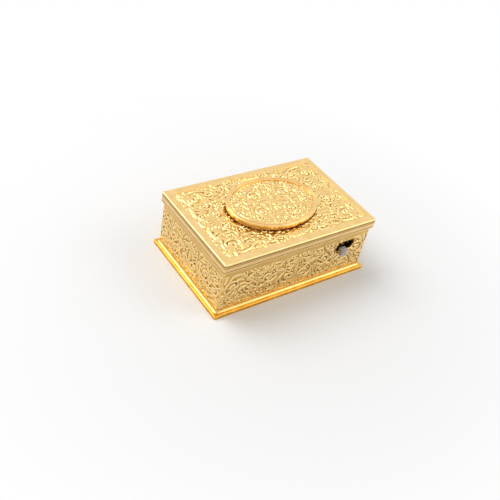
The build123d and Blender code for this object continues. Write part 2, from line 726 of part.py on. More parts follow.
beak_cam = cam(0, 7, 40)
beak_cam.part.label = "beak_cam"
export_step(beak_cam.part, "parts/beak_cam.step")
turn_cam = cam(1, 3, 110)
turn_cam.part.label = "turn_cam"
export_step(turn_cam.part, "parts/turn_cam.step")
pitch_cam = cam(2, 5, 200)
pitch_cam.part.label = "pitch_cam"
export_step(pitch_cam.part, "parts/pitch_cam.step")
valve_cam = cam(3, 8, 300)
valve_cam.part.label = "valve_cam"
export_step(valve_cam.part, "parts/valve_cam.step")

# Cam followers share one stud. Each long arm lies along the cams, tangent to their highest lift.
nose_reach = cam_radius + cam_lift + 0.15 + arm_width / 2
stud_to_cam = hypot(cam_x - stud_x, cam_y - stud_y)
stud_bearing = degrees(atan2(cam_y - stud_y, cam_x - stud_x)) - degrees(asin(nose_reach / stud_to_cam))
nose_x, nose_y = polar(stud_x, stud_y, sqrt(stud_to_cam**2 - nose_reach**2), stud_bearing)
with BuildPart() as lever_stud:
    add(disc(stud_x, stud_y, deck, 1.8, 0.7))
    add(disc(stud_x, stud_y, deck, stud_radius, cam_arbor_top - deck))
    add(disc(stud_x, stud_y, cam_arbor_top - 0.5, 1.8, 0.8))
lever_stud.part.label = "lever_stud"
export_step(lever_stud.part, "parts/lever_stud.step")


def follower(level, *spots):
    """A two armed lever on the shared stud, its second arm running through the spots."""
    z = cam_stack_z + cam_pitch * level + sliding / 2
    height = cam_thickness - sliding
    with BuildPart() as lever:
        add(disc(stud_x, stud_y, z, lever_hub, height))
        add(bar(stud_x, stud_y, nose_x, nose_y, arm_width, z, height))
        add(disc(nose_x, nose_y, z, arm_width / 2, height))
        near_x, near_y = stud_x, stud_y
        for spot_x, spot_y in spots:
            add(bar(near_x, near_y, spot_x, spot_y, arm_width, z, height))
            add(disc(spot_x, spot_y, z, arm_width / 2, height))
            near_x, near_y = spot_x, spot_y
        add(disc(stud_x, stud_y, z - 1, stud_radius + running, height + 2), mode=Mode.SUBTRACT)
    return lever


beak_lever = follower(0, (-13.2, -11.4))
beak_lever.part.label = "beak_lever"
export_step(beak_lever.part, "parts/beak_lever.step")
turn_lever = follower(1, (-13.4, -9.9))
turn_lever.part.label = "turn_lever"
export_step(turn_lever.part, "parts/turn_lever.step")
piston_end_x = -10.6
pitch_lever = follower(2, (piston_end_x - 0.9, whistle_y))
pitch_lever.part.label = "pitch_lever"
export_step(pitch_lever.part, "parts/pitch_lever.step")
valve_lever = follower(3, (-12.6, -12.6), (33.0, -12.4))
valve_lever.part.label = "valve_lever"
export_step(valve_lever.part, "parts/valve_lever.step")

# Third arbor, its wheel with the crank pin, and the fan that holds the speed.
third_pinion_z = cam_wheel_z - 0.4
third_wheel_z = barrel_z + 4.4
with BuildPart() as third_arbor:
    add(disc(third_x, third_y, lower_plate_z, pivot_radius, deck - lower_plate_z))
    add(disc(third_x, third_y, lower_plate_z + plate_thickness + 0.3, 0.9, plate_gap - 0.6))
    with BuildSketch(Plane.XY.offset(third_pinion_z)):
        pinion_start = mesh_bearing(third_bearing, pinion_teeth)
        Polygon(*gear_points(pinion_teeth, third_x, third_y, pinion_start), align=None)
    extrude(amount=pinion_length)
third_arbor.part.label = "third_arbor"
export_step(third_arbor.part, "parts/third_arbor.step")

board_end_x = bellows_hinge_x - bellows_length * sin(radians(bellows_angle))
board_end_y = bellows_hinge_y + bellows_length * cos(radians(bellows_angle))
crank_bearing = degrees(atan2(board_end_y - third_y, board_end_x - third_x))
crank_x, crank_y = polar(third_x, third_y, crank_radius, crank_bearing)
rod_z = third_wheel_z + wheel_thickness + 0.4
third_wheel = wheel(third_wheel_teeth, third_x, third_y, third_wheel_z, fan_bearing, 0.9, 2)
with third_wheel:
    add(disc(crank_x, crank_y, third_wheel_z, crank_pin_radius + 0.4, wheel_thickness))
    add(disc(crank_x, crank_y, third_wheel_z, crank_pin_radius, wheel_thickness + 1.3))
    add(disc(third_x, third_y, third_wheel_z, 0.9, wheel_thickness), mode=Mode.SUBTRACT)
third_wheel.part.label = "third_wheel"
export_step(third_wheel.part, "parts/third_wheel.step")

stop_disc_radius = 2.2
with BuildPart() as fan_rotor:
    add(disc(fan_x, fan_y, lower_plate_z, pivot_radius, deck + 1.1 - lower_plate_z))
    add(block(fan_x - 4.8, fan_x + 4.8, fan_y - 0.3, fan_y + 0.3, barrel_z + 0.2, barrel_z + 3.2))
    add(disc(fan_x, fan_y, barrel_z, 1.2, 3.4))
    with BuildSketch(Plane.XY.offset(third_wheel_z - 0.4)):
        Polygon(*gear_points(pinion_teeth, fan_x, fan_y, mesh_bearing(fan_bearing, pinion_teeth)), align=None)
    extrude(amount=pinion_length)
    add(disc(fan_x, fan_y, deck + 0.3, stop_disc_radius, 0.8))
fan_rotor.part.label = "fan_rotor"
export_step(fan_rotor.part, "parts/fan_rotor.step")

# Stop lever between the slider's finger and the fan's disc.
stop_x, stop_y = 22.0, -12.0
finger_x = lever_x + 2.7 + 0.35 + 0.7
finger_y = rail_y1 + 2.0
stop_end_x, stop_end_y = polar(fan_x, fan_y, stop_disc_radius + 0.9, -17)
with BuildPart() as stop_lever:
    add(disc(stop_x, stop_y, deck + 0.3, 2.0, 0.7))
    add(bar(stop_x, stop_y, finger_x, finger_y, 1.2, deck + 0.3, 0.7))
    add(disc(finger_x, finger_y, deck + 0.3, 0.7, 0.7))
    add(bar(stop_x, stop_y, stop_end_x, stop_end_y, 1.2, deck + 0.3, 0.7))
    add(disc(stop_end_x, stop_end_y, deck + 0.3, 0.7, 0.7))
    add(disc(stop_x, stop_y, deck, 0.8 + running, 3), mode=Mode.SUBTRACT)
stop_lever.part.label = "stop_lever"
export_step(stop_lever.part, "parts/stop_lever.step")

with BuildPart() as stop_screw:
    add(disc(stop_x, stop_y, deck, 1.4, 0.25))
    add(disc(stop_x, stop_y, deck, 0.8, 1.1))
    add(disc(stop_x, stop_y, deck + 1.05, 1.5, 0.5))
stop_screw.part.label = "stop_screw"
export_step(stop_screw.part, "parts/stop_screw.step")

# Bellows: fixed board, hinged board, pleated leather between them and the crank rod.
bellows_z = lower_plate_z + plate_thickness + 0.4
fixed_x0 = bellows_hinge_x + 0.4
swing = Location((bellows_hinge_x, bellows_hinge_y, 0), (0, 0, bellows_angle))
with BuildPart() as bellows_base:
    add(block(fixed_x0, fixed_x0 + 1.6, bellows_hinge_y - 1.2, bellows_hinge_y + bellows_length,
              lower_plate_z + plate_thickness, bellows_z + bellows_height))
    for lug_z in (bellows_z, bellows_z + bellows_height - 1.6):
        add(disc(bellows_hinge_x, bellows_hinge_y, lug_z, 0.9, 1.6))
    add(disc(bellows_hinge_x, bellows_hinge_y, bellows_z + 1.6, 1.05, bellows_height - 3.2),
        mode=Mode.SUBTRACT)
    add(disc(bellows_hinge_x, bellows_hinge_y, bellows_z, 0.45, bellows_height))
bellows_base.part.label = "bellows_base"
export_step(bellows_base.part, "parts/bellows_base.step")

board_box = Box(board_thickness, bellows_length - 1.6, bellows_height, mode=Mode.PRIVATE)
board_neck = Box(1.0, 2.4, bellows_height - 3.8, mode=Mode.PRIVATE)
board_barrel = Cylinder(0.95, bellows_height - 3.8, mode=Mode.PRIVATE)
bellows_middle = bellows_z + bellows_height / 2
with BuildPart() as bellows_board:
    add(swing * Pos(-board_thickness / 2 - 0.3, bellows_length / 2 + 0.8, bellows_middle) * board_box)
    add(swing * Pos(-0.5, 1.0, bellows_middle) * board_neck)
    add(swing * Pos(0, 0, bellows_middle) * board_barrel)
    add(disc(bellows_hinge_x, bellows_hinge_y, bellows_z, 0.45 + running, bellows_height), mode=Mode.SUBTRACT)
    add(bar(board_end_x - 0.9, board_end_y + 0.2, board_end_x - 3.4, board_end_y + 0.2,
            2.0, rod_z - 0.9, 0.8))
    add(disc(board_end_x - 3.0, board_end_y + 0.2, rod_z - 0.9, 0.6, 2.0))
bellows_board.part.label = "bellows_board"
export_step(bellows_board.part, "parts/bellows_board.step")

fold = [(fixed_x0, bellows_hinge_y + 2.2), (fixed_x0, bellows_hinge_y + bellows_length - 0.6)]
fold_far = swing * Pos(-0.3, bellows_length - 0.4, 0)
fold_x, fold_y = fold_far.position.X, fold_far.position.Y
for step in range(1, 6):
    share = step / 6
    dip = 1.9 if step % 2 else 0.0
    fold.append((fixed_x0 + (fold_x - fixed_x0) * share, fold[1][1] + (fold_y - fold[1][1]) * share - dip))
fold.append((fold_x, fold_y))
fold_near = swing * Pos(-0.3, 2.6, 0)
fold.append((fold_near.position.X, fold_near.position.Y))
with BuildPart() as bellows_leather:
    with BuildSketch(Plane.XY.offset(bellows_z + 0.4)):
        Polygon(*fold, align=None)
    extrude(amount=bellows_height - 0.8)
bellows_leather.part.label = "bellows_leather"
export_step(bellows_leather.part, "parts/bellows_leather.step")

rod_end_x, rod_end_y = board_end_x - 3.0, board_end_y + 0.2
eye_radius = crank_radius + crank_pin_radius + 0.3
with BuildPart() as bellows_rod:
    rod_bearing = degrees(atan2(rod_end_y - third_y, rod_end_x - third_x))
    ring_x, ring_y = polar(third_x, third_y, eye_radius + 0.5, rod_bearing)
    add(bar(ring_x, ring_y, rod_end_x, rod_end_y, 1.2, rod_z, 0.8))
    add(disc(third_x, third_y, rod_z, eye_radius + 0.9, 0.8))
    add(disc(rod_end_x, rod_end_y, rod_z, 1.4, 0.8))
    add(disc(third_x, third_y, rod_z, eye_radius, 0.8), mode=Mode.SUBTRACT)
    add(disc(rod_end_x, rod_end_y, rod_z, 0.6 + running, 0.8), mode=Mode.SUBTRACT)
bellows_rod.part.label = "bellows_rod"
export_step(bellows_rod.part, "parts/bellows_rod.step")

# Slide whistle on the deck, its piston and the wind pipe from the bellows.
whistle_z = cam_stack_z + cam_pitch * 2 + cam_thickness / 2
whistle_half = whistle_side / 2
with BuildPart() as whistle_body:
    add(block(whistle_x, whistle_end, whistle_y - whistle_half, whistle_y + whistle_half,
              whistle_z - whistle_half, whistle_z + whistle_half))
    add(block(whistle_x, whistle_x + 3, whistle_y - 2, whistle_y + 2, deck, whistle_z))
    add(block(whistle_end - 2.6, whistle_end, whistle_y - 2, whistle_y + 2, deck, whistle_z))
    add(rod_x(whistle_x - 1, whistle_end - 1, whistle_y, whistle_z, whistle_bore), mode=Mode.SUBTRACT)
    add(block(whistle_end - 8, whistle_end - 5, whistle_y - 1.2, whistle_y + 1.2, whistle_z, whistle_z + 9),
        mode=Mode.SUBTRACT)
    add(disc(pipe_x, pipe_y, deck, pipe_radius, whistle_z - deck), mode=Mode.SUBTRACT)
whistle_body.part.label = "whistle_body"
export_step(whistle_body.part, "parts/whistle_body.step")

with BuildPart() as whistle_piston:
    add(rod_x(whistle_x + 1, whistle_x + 7, whistle_y, whistle_z, whistle_bore - running))
    add(rod_x(piston_end_x, whistle_x + 2, whistle_y, whistle_z, 0.6))
    add(rod_x(piston_end_x, piston_end_x + 0.8, whistle_y, whistle_z, 1.2))
whistle_piston.part.label = "whistle_piston"
export_step(whistle_piston.part, "parts/whistle_piston.step")

pipe_turn_y = -17.4
pipe_low = bellows_z + 4.0
with BuildPart() as wind_pipe:
    add(rod_y(fixed_x0 + 0.8, pipe_turn_y, bellows_hinge_y - 1.2, pipe_low, pipe_radius))
    add(rod_x(pipe_x, fixed_x0 + 0.8, pipe_turn_y, pipe_low, pipe_radius))
    add(rod_y(pipe_x, pipe_y, pipe_turn_y, pipe_low, pipe_radius))
    for bend_x, bend_y in ((fixed_x0 + 0.8, pipe_turn_y), (pipe_x, pipe_turn_y), (pipe_x, pipe_y)):
        add(Pos(bend_x, bend_y, pipe_low) * Sphere(pipe_radius, mode=Mode.PRIVATE))
    add(disc(pipe_x, pipe_y, pipe_low, pipe_radius, whistle_z - whistle_bore - pipe_low))
wind_pipe.part.label = "wind_pipe"
export_step(wind_pipe.part, "parts/wind_pipe.step")

# Bird's frame, hinge pin and carriage. The bird lies along +X and rises about the pin.
bracket = 1.2
with BuildPart() as bird_frame:
    for side in (-1, 1):
        y0, y1 = sorted((side * (frame_half - bracket), side * frame_half))
        add(block(bird_pivot_x - 2.5, bird_pivot_x + 2.5, y0, y1, deck, bird_pivot_z + 2.0))
        fy0, fy1 = sorted((side * (frame_half - bracket), side * (frame_half + 2.0)))
        add(block(bird_pivot_x - 2.5, bird_pivot_x + 2.5, fy0, fy1, deck, deck + 0.8))
    add(rod_y(bird_pivot_x, -frame_half - 1, frame_half + 1, bird_pivot_z, bird_pin_radius),
        mode=Mode.SUBTRACT)
bird_frame.part.label = "bird_frame"
export_step(bird_frame.part, "parts/bird_frame.step")

with BuildPart() as carriage_pin:
    add(rod_y(bird_pivot_x, -frame_half - 0.5, frame_half + 0.5, bird_pivot_z, bird_pin_radius))
carriage_pin.part.label = "carriage_pin"
export_step(carriage_pin.part, "parts/carriage_pin.step")

post_radius = 0.8
carriage_half = 2.5
with BuildPart() as bird_carriage:
    add(block(bird_pivot_x - carriage_half, bird_pivot_x + 5, -3.0, 3.0, bird_pivot_z - carriage_half,
              bird_pivot_z + carriage_half))
    fillet(bird_carriage.edges().filter_by(Axis.Y), 1.0)
    add(rod_y(bird_pivot_x, -6.9, 6.9, bird_pivot_z, 1.5))
    add(rod_y(bird_pivot_x, -9, 9, bird_pivot_z, bird_pin_radius + running), mode=Mode.SUBTRACT)
    add(rod_x(bird_pivot_x + 1.4, bird_pivot_x + 6, 0, bird_pivot_z, post_radius + running),
        mode=Mode.SUBTRACT)
bird_carriage.part.label = "bird_carriage"
export_step(bird_carriage.part, "parts/bird_carriage.step")

# Bird: the body leans along a tilted axis. Up in the raised pose is +X here and forward is -Z.
tilt_x = sin(radians(bird_tilt))
tilt_z = -cos(radians(bird_tilt))
body_x = bird_pivot_x + bird_rise
body_z = bird_pivot_z
body_plane = Plane(origin=(body_x, 0, body_z), x_dir=(tilt_x, 0, tilt_z), z_dir=(0, -1, 0))


def on_body(along, up):
    """The X and Z of a point given along the body's axis and up from it."""
    spot = body_plane.from_local_coords((along, up, 0))
    return spot.X, spot.Z


head_x, head_z = on_body(4.3, 2.3)
beak_hinge_x = head_x - 0.45
beak_hinge_z = head_z - head_radius + 0.2
wing_up = 1.9
wing_side = 3.1
tail_x, tail_z = on_body(-6.0, 0)
wing_rod = Cylinder(0.4, 3.0, mode=Mode.PRIVATE)
wing_channel = Cylinder(0.4 + running, 3.2, mode=Mode.PRIVATE)


def along_body(shape, along, up, y):
    """A round bar laid parallel to the body's axis."""
    x, z = on_body(along, up)
    spot = Plane(origin=(x, y, z), x_dir=(0, 1, 0), z_dir=(tilt_x, 0, tilt_z))
    return spot.location * shape


beak_cone = Cone(0.9, 0.12, 2.4, mode=Mode.PRIVATE)
beak_cone = Pos(head_x - 0.1, 0, head_z - head_radius - 0.8) * Rot(180, 0, 0) * beak_cone
beak_split = beak_hinge_x + 0.35
with BuildPart() as bird_body:
    with BuildSketch(body_plane):
        with BuildLine():
            Line((-6.0, 0), (5.2, 0))
            Line((-6.0, 0), (-6.0, 0.9))
            Spline((-6.0, 0.9), (-3.2, 2.2), (0.3, body_radius), (3.4, 2.6), (5.2, 0),
                   tangents=((1, 0.3), (0, -1)))
        make_face()
    revolve(axis=Axis(body_plane.origin, body_plane.x_dir))
    add(Pos(head_x, 0, head_z) * Sphere(head_radius, mode=Mode.PRIVATE))
    add(beak_cone)
    add(block(beak_split - 3, beak_split, -2, 2, beak_hinge_z - 3.5, beak_hinge_z - 0.2), mode=Mode.SUBTRACT)
    add(rod_y(beak_hinge_x, -3, 3, beak_hinge_z, 0.3 + running), mode=Mode.SUBTRACT)
    add(rod_x(bird_pivot_x + 1.6, body_x, 0, bird_pivot_z, post_radius))
    add(rod_y(tail_x, -2, 2, tail_z, 0.75), mode=Mode.SUBTRACT)
    for side in (-1, 1):
        add(along_body(wing_channel, 0.5, wing_up, side * wing_side), mode=Mode.SUBTRACT)
        add(Pos(head_x + 0.5, side * (head_radius - 0.25), head_z - 0.8) * Sphere(0.35, mode=Mode.PRIVATE))
bird_body.part.label = "bird_body"
export_step(bird_body.part, "parts/bird_body.step")

lower_cut = block(beak_split - 0.08, beak_split + 4, -4, 4, beak_hinge_z - 9, beak_hinge_z + 9)
with BuildPart() as beak_lower:
    add(Pos(0, 0, -0.12) * beak_cone)
    add(lower_cut, mode=Mode.SUBTRACT)
    add(block(beak_split - 4, beak_split + 4, -4, 4, beak_hinge_z - 0.28, beak_hinge_z + 4),
        mode=Mode.SUBTRACT)
    add(rod_y(beak_hinge_x, -0.8, 0.8, beak_hinge_z, 0.3))
    add(block(beak_hinge_x - 0.15, beak_hinge_x + 0.15, -0.6, 0.6, beak_hinge_z - 0.6, beak_hinge_z))
beak_lower.part.label = "beak_lower"
export_step(beak_lower.part, "parts/beak_lower.step")


def wing(side):
    """A folded wing: a leaf shaped plate below a hinge rod at the shoulder."""
    leaf_plane = Plane(origin=(body_x, side * (wing_side + 0.1), body_z), x_dir=(tilt_x, 0, tilt_z),
                       z_dir=(0, -1, 0))
    with BuildPart() as leaf:
        with BuildSketch(leaf_plane):
            with BuildLine():
                Line((2.0, wing_up), (-1.0, wing_up))
                Spline((-1.0, wing_up), (-4.0, 1.0), (-7.2, -0.6))
                Spline((-7.2, -0.6), (-3.4, -1.9), (0.2, -1.7), (2.0, 0.2))
                Line((2.0, 0.2), (2.0, wing_up))
            make_face()
        extrude(amount=-side * 1.1)
        inner_y = side * (wing_side + 0.35)
        keep_y0, keep_y1 = sorted((inner_y, inner_y - side * 4))
        add(block(-20, 30, keep_y0, keep_y1, 0, 60), mode=Mode.SUBTRACT)
        add(along_body(wing_rod, 0.5, wing_up, side * wing_side))
    return leaf


wing_left = wing(1)
wing_left.part.label = "wing_left"
export_step(wing_left.part, "parts/wing_left.step")
wing_right = wing(-1)
wing_right.part.label = "wing_right"
export_step(wing_right.part, "parts/wing_right.step")

tail_plane = Plane(origin=(tail_x, 0, tail_z), x_dir=(tilt_x, 0, tilt_z), z_dir=(tilt_z, 0, -tilt_x))
with BuildPart() as bird_tail:
    with BuildSketch(tail_plane.offset(-0.3)):
        Polygon((0, -0.7), (0, 0.7), (-3.4, 1.9), (-3.7, 1.3), (-3.5, 0.7), (-3.9, 0), (-3.5, -0.7),
                (-3.7, -1.3), (-3.4, -1.9), align=None)
    extrude(amount=0.6)
    add(rod_y(tail_x, -1.0, 1.0, tail_z, 0.75 - running))
bird_tail.part.label = "bird_tail"
export_step(bird_tail.part, "parts/bird_tail.step")
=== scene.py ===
"""A gilt singing bird box: chased scrolls and leaves, metal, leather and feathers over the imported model."""

import json
import math

import bmesh
import bpy
import numpy as np
from mathutils import Matrix, Vector


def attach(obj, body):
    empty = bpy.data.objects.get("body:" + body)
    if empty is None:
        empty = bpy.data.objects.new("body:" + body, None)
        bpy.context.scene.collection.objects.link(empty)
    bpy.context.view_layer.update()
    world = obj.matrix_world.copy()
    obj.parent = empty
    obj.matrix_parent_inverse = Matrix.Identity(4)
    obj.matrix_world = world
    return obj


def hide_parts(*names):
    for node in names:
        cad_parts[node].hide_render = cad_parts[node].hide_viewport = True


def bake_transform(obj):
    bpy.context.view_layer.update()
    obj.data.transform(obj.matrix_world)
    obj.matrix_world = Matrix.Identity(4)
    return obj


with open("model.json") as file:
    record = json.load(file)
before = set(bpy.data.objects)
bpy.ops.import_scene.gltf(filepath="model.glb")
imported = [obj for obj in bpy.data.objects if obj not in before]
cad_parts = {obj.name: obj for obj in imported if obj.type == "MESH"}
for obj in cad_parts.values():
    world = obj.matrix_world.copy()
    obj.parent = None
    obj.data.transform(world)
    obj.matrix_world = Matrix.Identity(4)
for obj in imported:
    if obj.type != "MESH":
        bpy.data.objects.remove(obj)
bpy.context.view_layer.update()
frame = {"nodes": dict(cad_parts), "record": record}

MM = 0.001
nodes = frame["nodes"]

# Sizes of the case in millimetres, the same as in the part
field_half_x, field_half_y, field_z = 45.5, 27.5, 35.7
panel_half_x, panel_half_y = 47.8, 29.8
panel_face_x, panel_face_y = 48.5, 30.5
panel_low, panel_high = 4.0, 26.0
panel_middle = (panel_high + panel_low) / 2
lid_half_x, lid_half_y, lid_floor_z = 24.95, 18.3, 38.8
lid_rim_half_x, lid_rim_half_y = 27.35, 20.7
lid_side_low, lid_side_high = 37.2, 38.7
bezel_half_x, bezel_half_y = 25.6, 18.95
slot_outline = [(26.8, 19.4), (28.0, 23.9), (31.3, 24.5), (38.8, 24.4),
                (39.4, 21.5), (37.8, 18.6), (27.8, 18.5)]

# The part's own volutes: distances in from the field's corner, radius, opening in degrees, hand
cover_volutes = [(8.1, 7.5, 4.6, 126, 1), (17.0, 6.3, 3.4, 34, -1),
                 (5.0, 15.4, 3.2, 57, -1), (11.4, 14.4, 3.2, 160, 1)]
wall_volute, wall_volute_pitch = 4.4, 11.0
volute_shares = (1.0, 0.62, 0.34, 0.2)

# Every chased sheet reaches a little past its field, and its rim and underside are sunk into the metal
over_edge = 0.9
ground = 0.06
sunk = -0.28
underside = sunk - 0.05
rim_slope, rim_reach = 1.1, 4
bare_height = 0.07
stipple_height = 0.035

# Tones of the chasing, from 0 in the hollows to 1 on top, the dark hollows partly patina and partly painted
# shade: rows of blurring, then what they are worth
broad_rows, near_rows, patch_rows = 14, 3, 24
middle_tone, broad_gain = 0.46, 1.3
crevice_start, crevice_most, crevice_gain = 0.04, 0.2, 13.0
patch_gain = 0.7


# Materials

def new_material(name):
    material = bpy.data.materials.new(name)
    material.use_nodes = True
    tree = material.node_tree
    return material, tree, tree.nodes["Principled BSDF"]


def object_place(tree):
    """Where a point lies on its own object, in metres."""
    return tree.nodes.new("ShaderNodeTexCoord").outputs["Object"]


def noise_node(tree, scale, detail=3.0):
    noise = tree.nodes.new("ShaderNodeTexNoise")
    noise.inputs["Scale"].default_value = scale
    noise.inputs["Detail"].default_value = detail
    tree.links.new(object_place(tree), noise.inputs["Vector"])
    return noise.outputs["Fac"]


def ramp_node(tree, source, stops):
    ramp = tree.nodes.new("ShaderNodeValToRGB")
    points = ramp.color_ramp.elements
    while len(points) < len(stops):
        points.new(0.5)
    for point, (position, colour) in zip(points, stops):
        point.position = position
        point.color = (*colour, 1)
    tree.links.new(source, ramp.inputs["Fac"])
    return ramp.outputs["Color"]


def map_node(tree, source, low, high, start=0.0, end=1.0):
    mapped = tree.nodes.new("ShaderNodeMapRange")
    mapped.inputs["From Min"].default_value = start
    mapped.inputs["From Max"].default_value = end
    mapped.inputs["To Min"].default_value = low
    mapped.inputs["To Max"].default_value = high
    tree.links.new(source, mapped.inputs["Value"])
    return mapped.outputs["Result"]


def math_node(tree, operation, *values):
    """One step of arithmetic on sockets and numbers."""
    node = tree.nodes.new("ShaderNodeMath")
    node.operation = operation
    for socket, value in zip(node.inputs, values):
        if isinstance(value, bpy.types.NodeSocket):
            tree.links.new(value, socket)
        else:
            socket.default_value = value
    return node.outputs["Value"]


def length_node(tree, source):
    node = tree.nodes.new("ShaderNodeVectorMath")
    node.operation = "LENGTH"
    tree.links.new(source, node.inputs[0])
    return node.outputs["Value"]


def bump(tree, shader, source, strength, distance):
    node = tree.nodes.new("ShaderNodeBump")
    node.inputs["Strength"].default_value = strength
    node.inputs["Distance"].default_value = distance
    tree.links.new(source, node.inputs["Height"])
    tree.links.new(node.outputs["Normal"], shader.inputs["Normal"])


def metal(name, dark, light, rough_low, rough_high):
    """Polished metal whose colour and gloss wander a little."""
    cloud_scale, cloud_low, cloud_high = 220.0, 0.3, 0.7
    material, tree, shader = new_material(name)
    cloud = noise_node(tree, cloud_scale)
    colour = ramp_node(tree, cloud, [(cloud_low, dark), (cloud_high, light)])
    tree.links.new(colour, shader.inputs["Base Color"])
    rough = map_node(tree, cloud, rough_low, rough_high, cloud_low, cloud_high)
    tree.links.new(rough, shader.inputs["Roughness"])
    bump(tree, shader, noise_node(tree, cloud_scale * 12), 0.12, 0.04 * MM)
    shader.inputs["Metallic"].default_value = 1.0
    return material


def by_depth(name, stops, rough_low, rough_high, metallic=1.0):
    """Colour and gloss follow the mesh's own depth: dark in the hollows, partly patina and partly painted
    shade, pale on what stands proud.
    """
    cloud_scale, cloud_share = 900.0, 0.22
    material, tree, shader = new_material(name)
    depth = tree.nodes.new("ShaderNodeAttribute")
    depth.attribute_name = "depth"
    cloud = noise_node(tree, cloud_scale)
    tone = math_node(tree, "MULTIPLY_ADD", cloud, cloud_share, depth.outputs["Fac"])
    tree.links.new(ramp_node(tree, tone, stops), shader.inputs["Base Color"])
    tree.links.new(map_node(tree, tone, rough_high, rough_low), shader.inputs["Roughness"])
    bump(tree, shader, cloud, 0.25, 0.06 * MM)
    shader.inputs["Metallic"].default_value = metallic
    return material


def dull(name, dark, light, rough, scale, strength=0.3):
    """A surface that isn't metal, such as wood or leather."""
    material, tree, shader = new_material(name)
    cloud = noise_node(tree, scale, 6.0)
    tree.links.new(ramp_node(tree, cloud, [(0.32, dark), (0.68, light)]), shader.inputs["Base Color"])
    bump(tree, shader, cloud, strength, 0.1 * MM)
    shader.inputs["Roughness"].default_value = rough
    return material


def recolour(material, source, start, end, colour):
    """Paints over a finish as the source value goes from start to end."""
    tree = material.node_tree
    base = tree.nodes["Principled BSDF"].inputs["Base Color"]
    under = base.links[0].from_socket
    mixed = tree.nodes.new("ShaderNodeMix")
    mixed.data_type = "RGBA"
    share, first, second, result = mixed.inputs[0], mixed.inputs[6], mixed.inputs[7], mixed.outputs[2]
    tree.links.new(map_node(tree, source, 0.0, 1.0, start, end), share)
    tree.links.new(under, first)
    second.default_value = (*colour, 1)
    tree.links.new(result, base)


def axis_value(material, axis):
    """The place along one axis of the node, in metres."""
    tree = material.node_tree
    split = tree.nodes.new("ShaderNodeSeparateXYZ")
    tree.links.new(object_place(tree), split.inputs["Vector"])
    return split.outputs[axis]


def line_value(material, height):
    """How far a point lies above or below a height given in millimetres, in metres."""
    tree = material.node_tree
    return math_node(tree, "ABSOLUTE", math_node(tree, "SUBTRACT", axis_value(material, "Z"), height * MM))


def rim_value(material, half_x, half_y, low, high):
    """Near 1 on the outer side of an oval rim and towards its foot, 0 elsewhere."""
    tree = material.node_tree
    scaled = tree.nodes.new("ShaderNodeVectorMath")
    scaled.operation = "MULTIPLY"
    scaled.inputs[1].default_value = (1 / (half_x * MM), 1 / (half_y * MM), 0)
    tree.links.new(object_place(tree), scaled.inputs[0])
    side_from, side_full = 0.975, 0.99
    outside = map_node(tree, length_node(tree, scaled.outputs["Vector"]), 0.0, 1.0, side_from, side_full)
    foot = map_node(tree, axis_value(material, "Z"), 1.0, 0.0, low * MM, high * MM)
    return math_node(tree, "MULTIPLY", outside, foot)


def bright_gilt(name):
    return metal(name, (0.86, 0.58, 0.22), (0.94, 0.67, 0.31), 0.16, 0.26)


def blue_green(name):
    return dull(name, (0.04, 0.16, 0.20), (0.10, 0.42, 0.40), 0.45, 1500.0, 0.6)


def down(name, stops):
    return by_depth(name, stops, 0.3, 0.5, 0.0)


gilt = bright_gilt("gilt")
# The walls take a darker copy of the gilt: painted shade on the box's sides
gilt_shaded_wall = metal("gilt_shaded_wall", (0.70, 0.44, 0.13), (0.80, 0.54, 0.19), 0.18, 0.30)
# The chased sheets' gilt: dark brown in the hollows, partly patina and partly painted shade, pale gold on top
gilt_relief = by_depth("gilt_relief", [
    (0.10, (0.20, 0.08, 0.012)), (0.42, (0.78, 0.48, 0.13)),
    (0.68, (0.95, 0.70, 0.31)), (1.0, (0.97, 0.80, 0.47))], 0.16, 0.34)
gilt_deep = metal("gilt_deep", (0.66, 0.34, 0.04), (0.86, 0.50, 0.10), 0.22, 0.36)

# Painted shade: the lid's side is painted dark brown towards its foot, where the shadow under its overhang
# falls
gilt_lid = bright_gilt("gilt_lid")
lid_shade_mask = rim_value(gilt_lid, lid_rim_half_x, lid_rim_half_y, lid_side_low, lid_side_high)
recolour(gilt_lid, lid_shade_mask, 0.0, 1.0, (0.30, 0.13, 0.025))

# Painted shade in the grooves round the cover's edge, as dark lines: height, half width with and without the
# soft sides, colour
gilt_cover = bright_gilt("gilt_cover")
for groove_z, outer_half, inner_half, groove_shade_colour in (
        (34.85, 0.35, 0.2, (0.26, 0.15, 0.04)),
        (33.85, 0.28, 0.15, (0.50, 0.32, 0.10)),
        (31.15, 0.28, 0.15, (0.50, 0.32, 0.10))):
    recolour(gilt_cover, line_value(gilt_cover, groove_z), outer_half * MM, inner_half * MM, groove_shade_colour)

brass = metal("brass", (0.74, 0.52, 0.19), (0.83, 0.61, 0.25), 0.24, 0.32)
steel = metal("steel", (0.30, 0.28, 0.29), (0.46, 0.43, 0.45), 0.2, 0.36)
wood = dull("wood", (0.20, 0.10, 0.045), (0.38, 0.21, 0.10), 0.5, 120.0)
leather = dull("leather", (0.50, 0.36, 0.24), (0.66, 0.50, 0.36), 0.62, 1400.0)
feather = blue_green("feather")
wing_feather = dull("wing_feather", (0.36, 0.09, 0.03), (0.62, 0.22, 0.06), 0.45, 1800.0, 0.6)
beak_horn = dull("beak", (0.62, 0.56, 0.42), (0.80, 0.74, 0.58), 0.35, 900.0)

# The upper beak and the brass post are one node with the bird's body. The bird lies with its beak down at rest,
# so the beak is what lies below beak_root_z, and the post is what lies short of post_x
beak_root_z, post_x, soft_edge = 22.3, 1.8, 0.1
bird_skin = blue_green("bird_skin")
for axis, limit, over_colour in (("Z", beak_root_z, (0.70, 0.62, 0.44)), ("X", post_x, (0.62, 0.42, 0.16))):
    recolour(bird_skin, axis_value(bird_skin, axis), limit * MM, (limit - soft_edge) * MM, over_colour)

